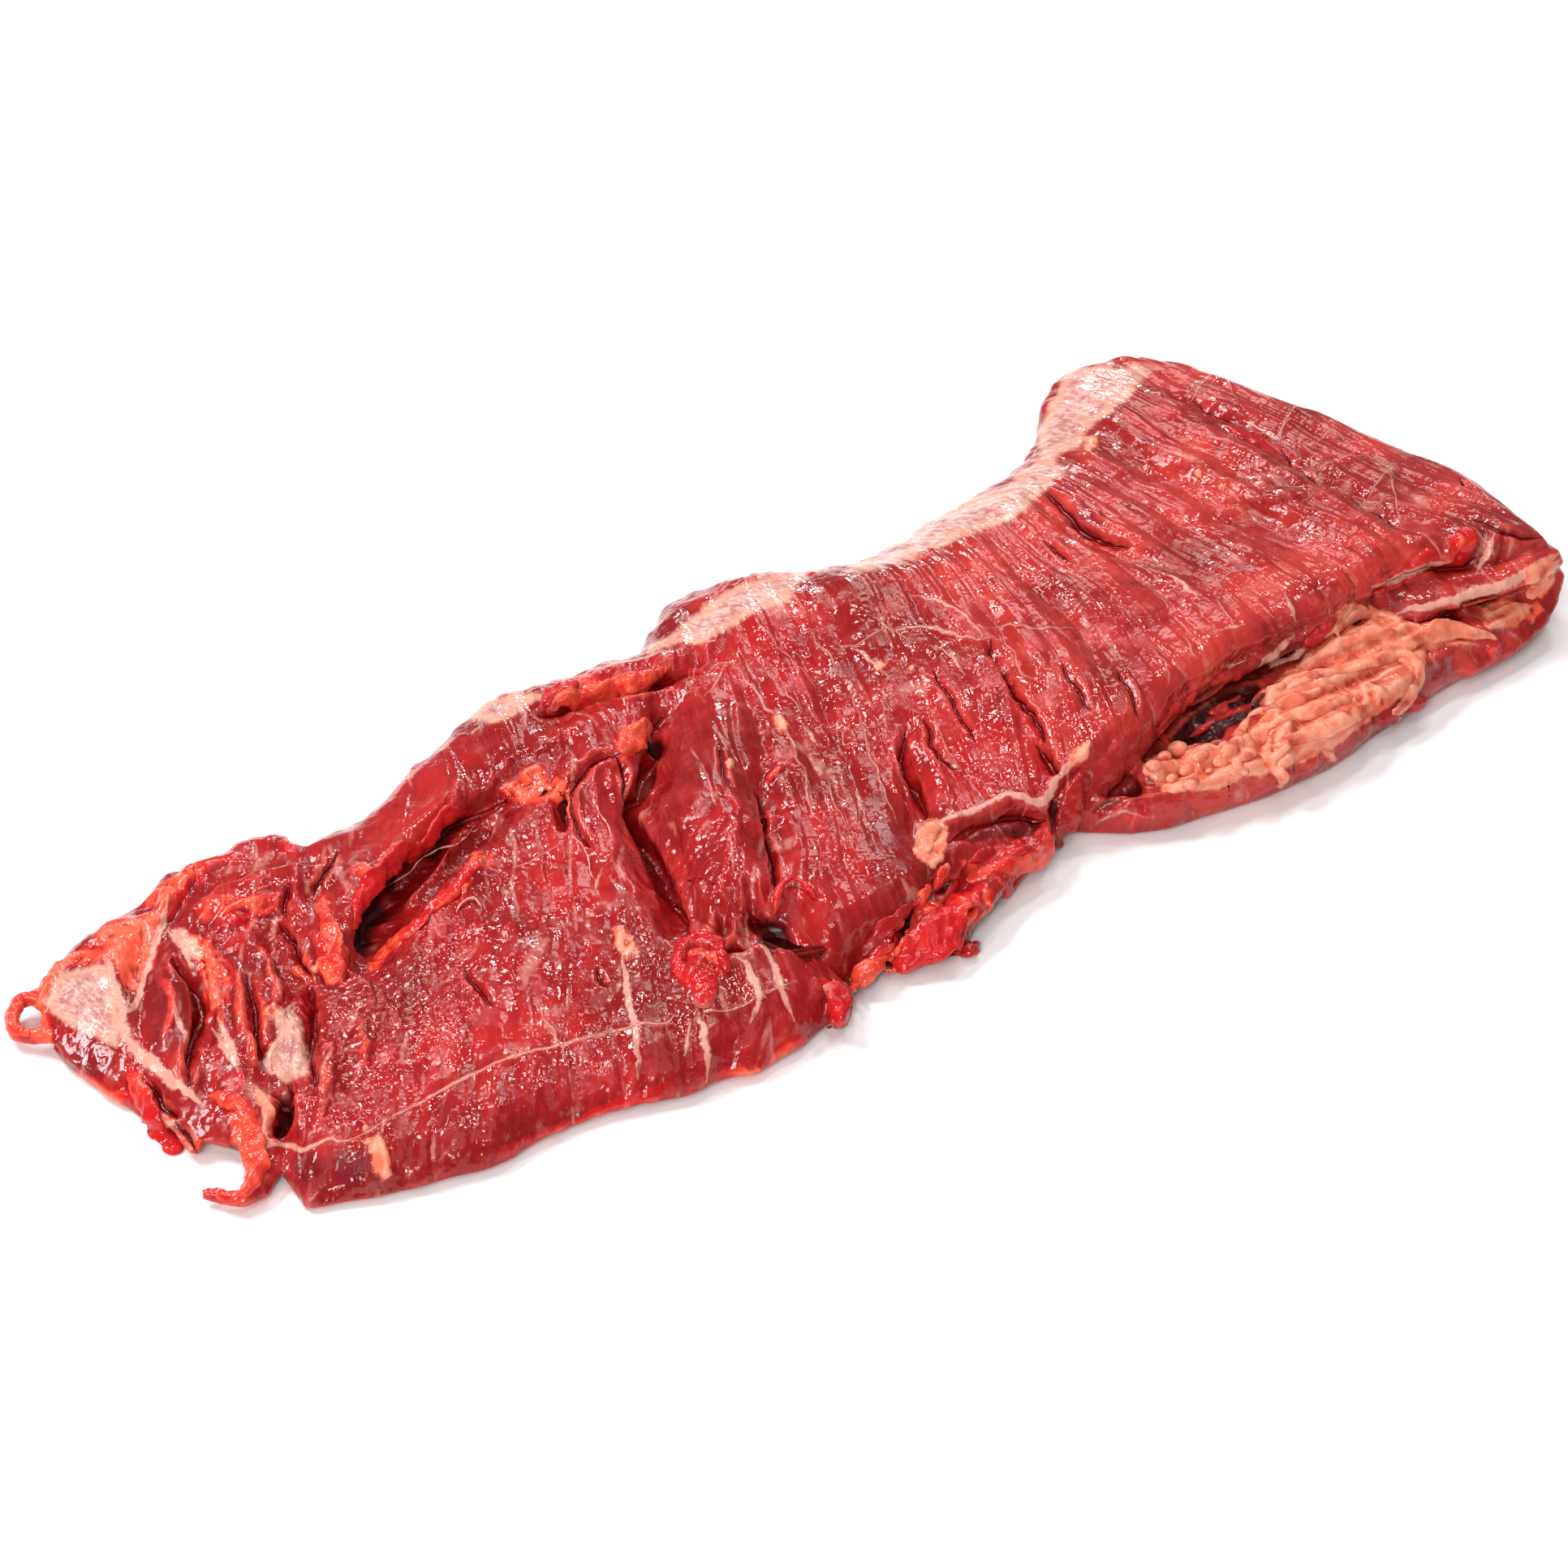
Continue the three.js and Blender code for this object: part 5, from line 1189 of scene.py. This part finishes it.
    # relief that is too fine for the mesh
    height = (fibre - 0.5) * bumps["fibre"] + (cord - 0.5) * bumps["cord"]
    height = height + (fine - 0.5) * bumps["fine"] + (patchy - 0.5) * bumps["patchy"]
    height = height * (1 - 0.7 * calm) * (0.7 + 0.3 * paint.ramp(wide, 0.35, 0.65))
    pebbles = paint.cells(place, sizes["pebble"])
    height = height - pebbles * (bumps["pebble"] + bumps["pebbleMore"] * paint.read("pebble"))
    height = height - (1 - paint.ramp(border, 0.0, 1.4)) * bumps["border"]
    height = height - shadedGashMask * bumps["shadedGash"] + fatMask * bumps["fat"] + seamLine * bumps["seam"]
    dry = paint.ramp(paint.noise(place, sizes["wet"], 2), 0.42, 0.7)
    roughness = meatLook["wet"] + meatLook["dryMore"] * dry + fatMask * meatLook["fatMore"]
    roughness = roughness + gapShadeMask * meatLook["darkMore"]
    return paint.finish(Base_Color=colour, Roughness=roughness, Normal=paint.bump(height), **meatLook["finish"])


fatLook = {
    # the pale fat colour is partly painted highlight and the shaded one partly painted shade
    "colours": {"fat": "#d8694a", "fatPaleAndHighlight": "#e89678", "fatStreakAndShade": "#a22e1e", "vein": "#a82420"},
    "sizes": {"patchy": 5, "fine": 1.1, "stain": 7},  # in millimetres
    "bumps": {"patchy": 0.45, "fine": 0.08}, "wet": 0.2, "dryMore": 0.2,
    "finish": {
        "IOR": 1.42, "Subsurface_Weight": 0.12, "Subsurface_Radius": (1.0, 0.4, 0.25), "Subsurface_Scale": 0.002,
    },
}


def fatMaterial():
    paint = Paint("softFat")
    look = {name: tint(code) for name, code in fatLook["colours"].items()}
    sizes, bumps = fatLook["sizes"], fatLook["bumps"]
    place = paint.place()
    hollow = paint.read("hollow")
    patchy = paint.noise(place, sizes["patchy"], 3, 0.6)
    fine = paint.noise(place, sizes["fine"], 2)
    # random pale patches, paler on ridges as painted highlight, darker in hollows as painted shade
    colour = paint.blend(paint.ramp(patchy - hollow * 0.5, 0.35, 0.75), look["fat"], look["fatPaleAndHighlight"])
    colour = paint.blend(paint.ramp(hollow + (patchy - 0.5), 0.0, 0.6) * 0.9, colour, look["fatStreakAndShade"])
    stain = paint.ramp(paint.noise(place, sizes["stain"], 2), 0.54, 0.66)
    colour = paint.blend(stain * 0.7, colour, look["vein"])
    height = (patchy - 0.5) * bumps["patchy"] + (fine - 0.5) * bumps["fine"]
    roughness = fatLook["wet"] + fatLook["dryMore"] * patchy
    return paint.finish(Base_Color=colour, Roughness=roughness, Normal=paint.bump(height), **fatLook["finish"])


def membraneMaterial():
    return Paint("paleMembrane").finish(Base_Color=tint("#db8f80"), Roughness=0.18, IOR=1.4)


meatPaint, fatPaint = meatMaterial(), fatMaterial()
for part in meatParts:
    part.data.materials.append(meatPaint)
print("meat painted")
tornPieces = growPiece("tornStrips", tornStrips, meatTree, meatPaint)
fatOnTop = growPiece("fatPieces", fatPieces, meatTree, fatPaint)
threads = growPiece("whiteThreads", whiteThreads, meatTree, membraneMaterial())


# floor, soft light and a few hard ones for the wet glints
studio = {
    "floorSize": 8.0, "floor": "#f7f5f5", "world": 0.18,
    "lights": [  # side and rise in degrees, distance, size, power and the place on the table it points at
        (-150, 50, 1.6, 0.5, 17, (0, 0)), (20, 78, 1.8, 1.0, 3, (0, 0)), (-58, 32, 1.6, 0.8, 10, (0, 0)),
        (-50, 34, 1.6, 0.3, 7, (0, 0)),
        (138, 37, 1.6, 0.42, 2.4, (0.1, 0.02)),  # the sheen on the broad right part
        (168, 52, 1.6, 0.2, 4.5, (0, 0)), (112, 50, 1.6, 0.16, 3, (0, 0)), (142, 70, 1.6, 0.2, 3, (0, 0)),
        (140, 18, 1.6, 0.16, 2, (0, 0)), (-20, 62, 1.6, 0.16, 2, (0, 0)),
    ],
}


def makeStudio():
    bpy.ops.object.select_all(action="DESELECT")
    bpy.ops.mesh.primitive_plane_add(size=studio["floorSize"], location=(0, 0, -0.0003))
    floor = bpy.context.object
    floor.name = "floor"
    paint = Paint("paleFloor")
    floor.data.materials.append(paint.finish(Base_Color=tint(studio["floor"]), Roughness=0.6))
    world = bpy.data.worlds.new("studioWorld")
    world.use_nodes = True
    world.node_tree.nodes["Background"].inputs["Strength"].default_value = studio["world"]
    world.node_tree.nodes["Background"].inputs["Color"].default_value = (1, 1, 1, 1)
    bpy.context.scene.world = world
    for side, rise, distance, size, power, aim in studio["lights"]:
        back = outward(side, rise)
        bpy.ops.object.light_add(type="AREA", location=back * distance + Vector((*aim, 0)))
        light = bpy.context.object
        light.rotation_euler = (-back).to_track_quat("-Z", "Y").to_euler()
        light.data.energy = power
        light.data.size = size
    bpy.context.scene.view_settings.view_transform = "Standard"


makeStudio()
print("studio set")
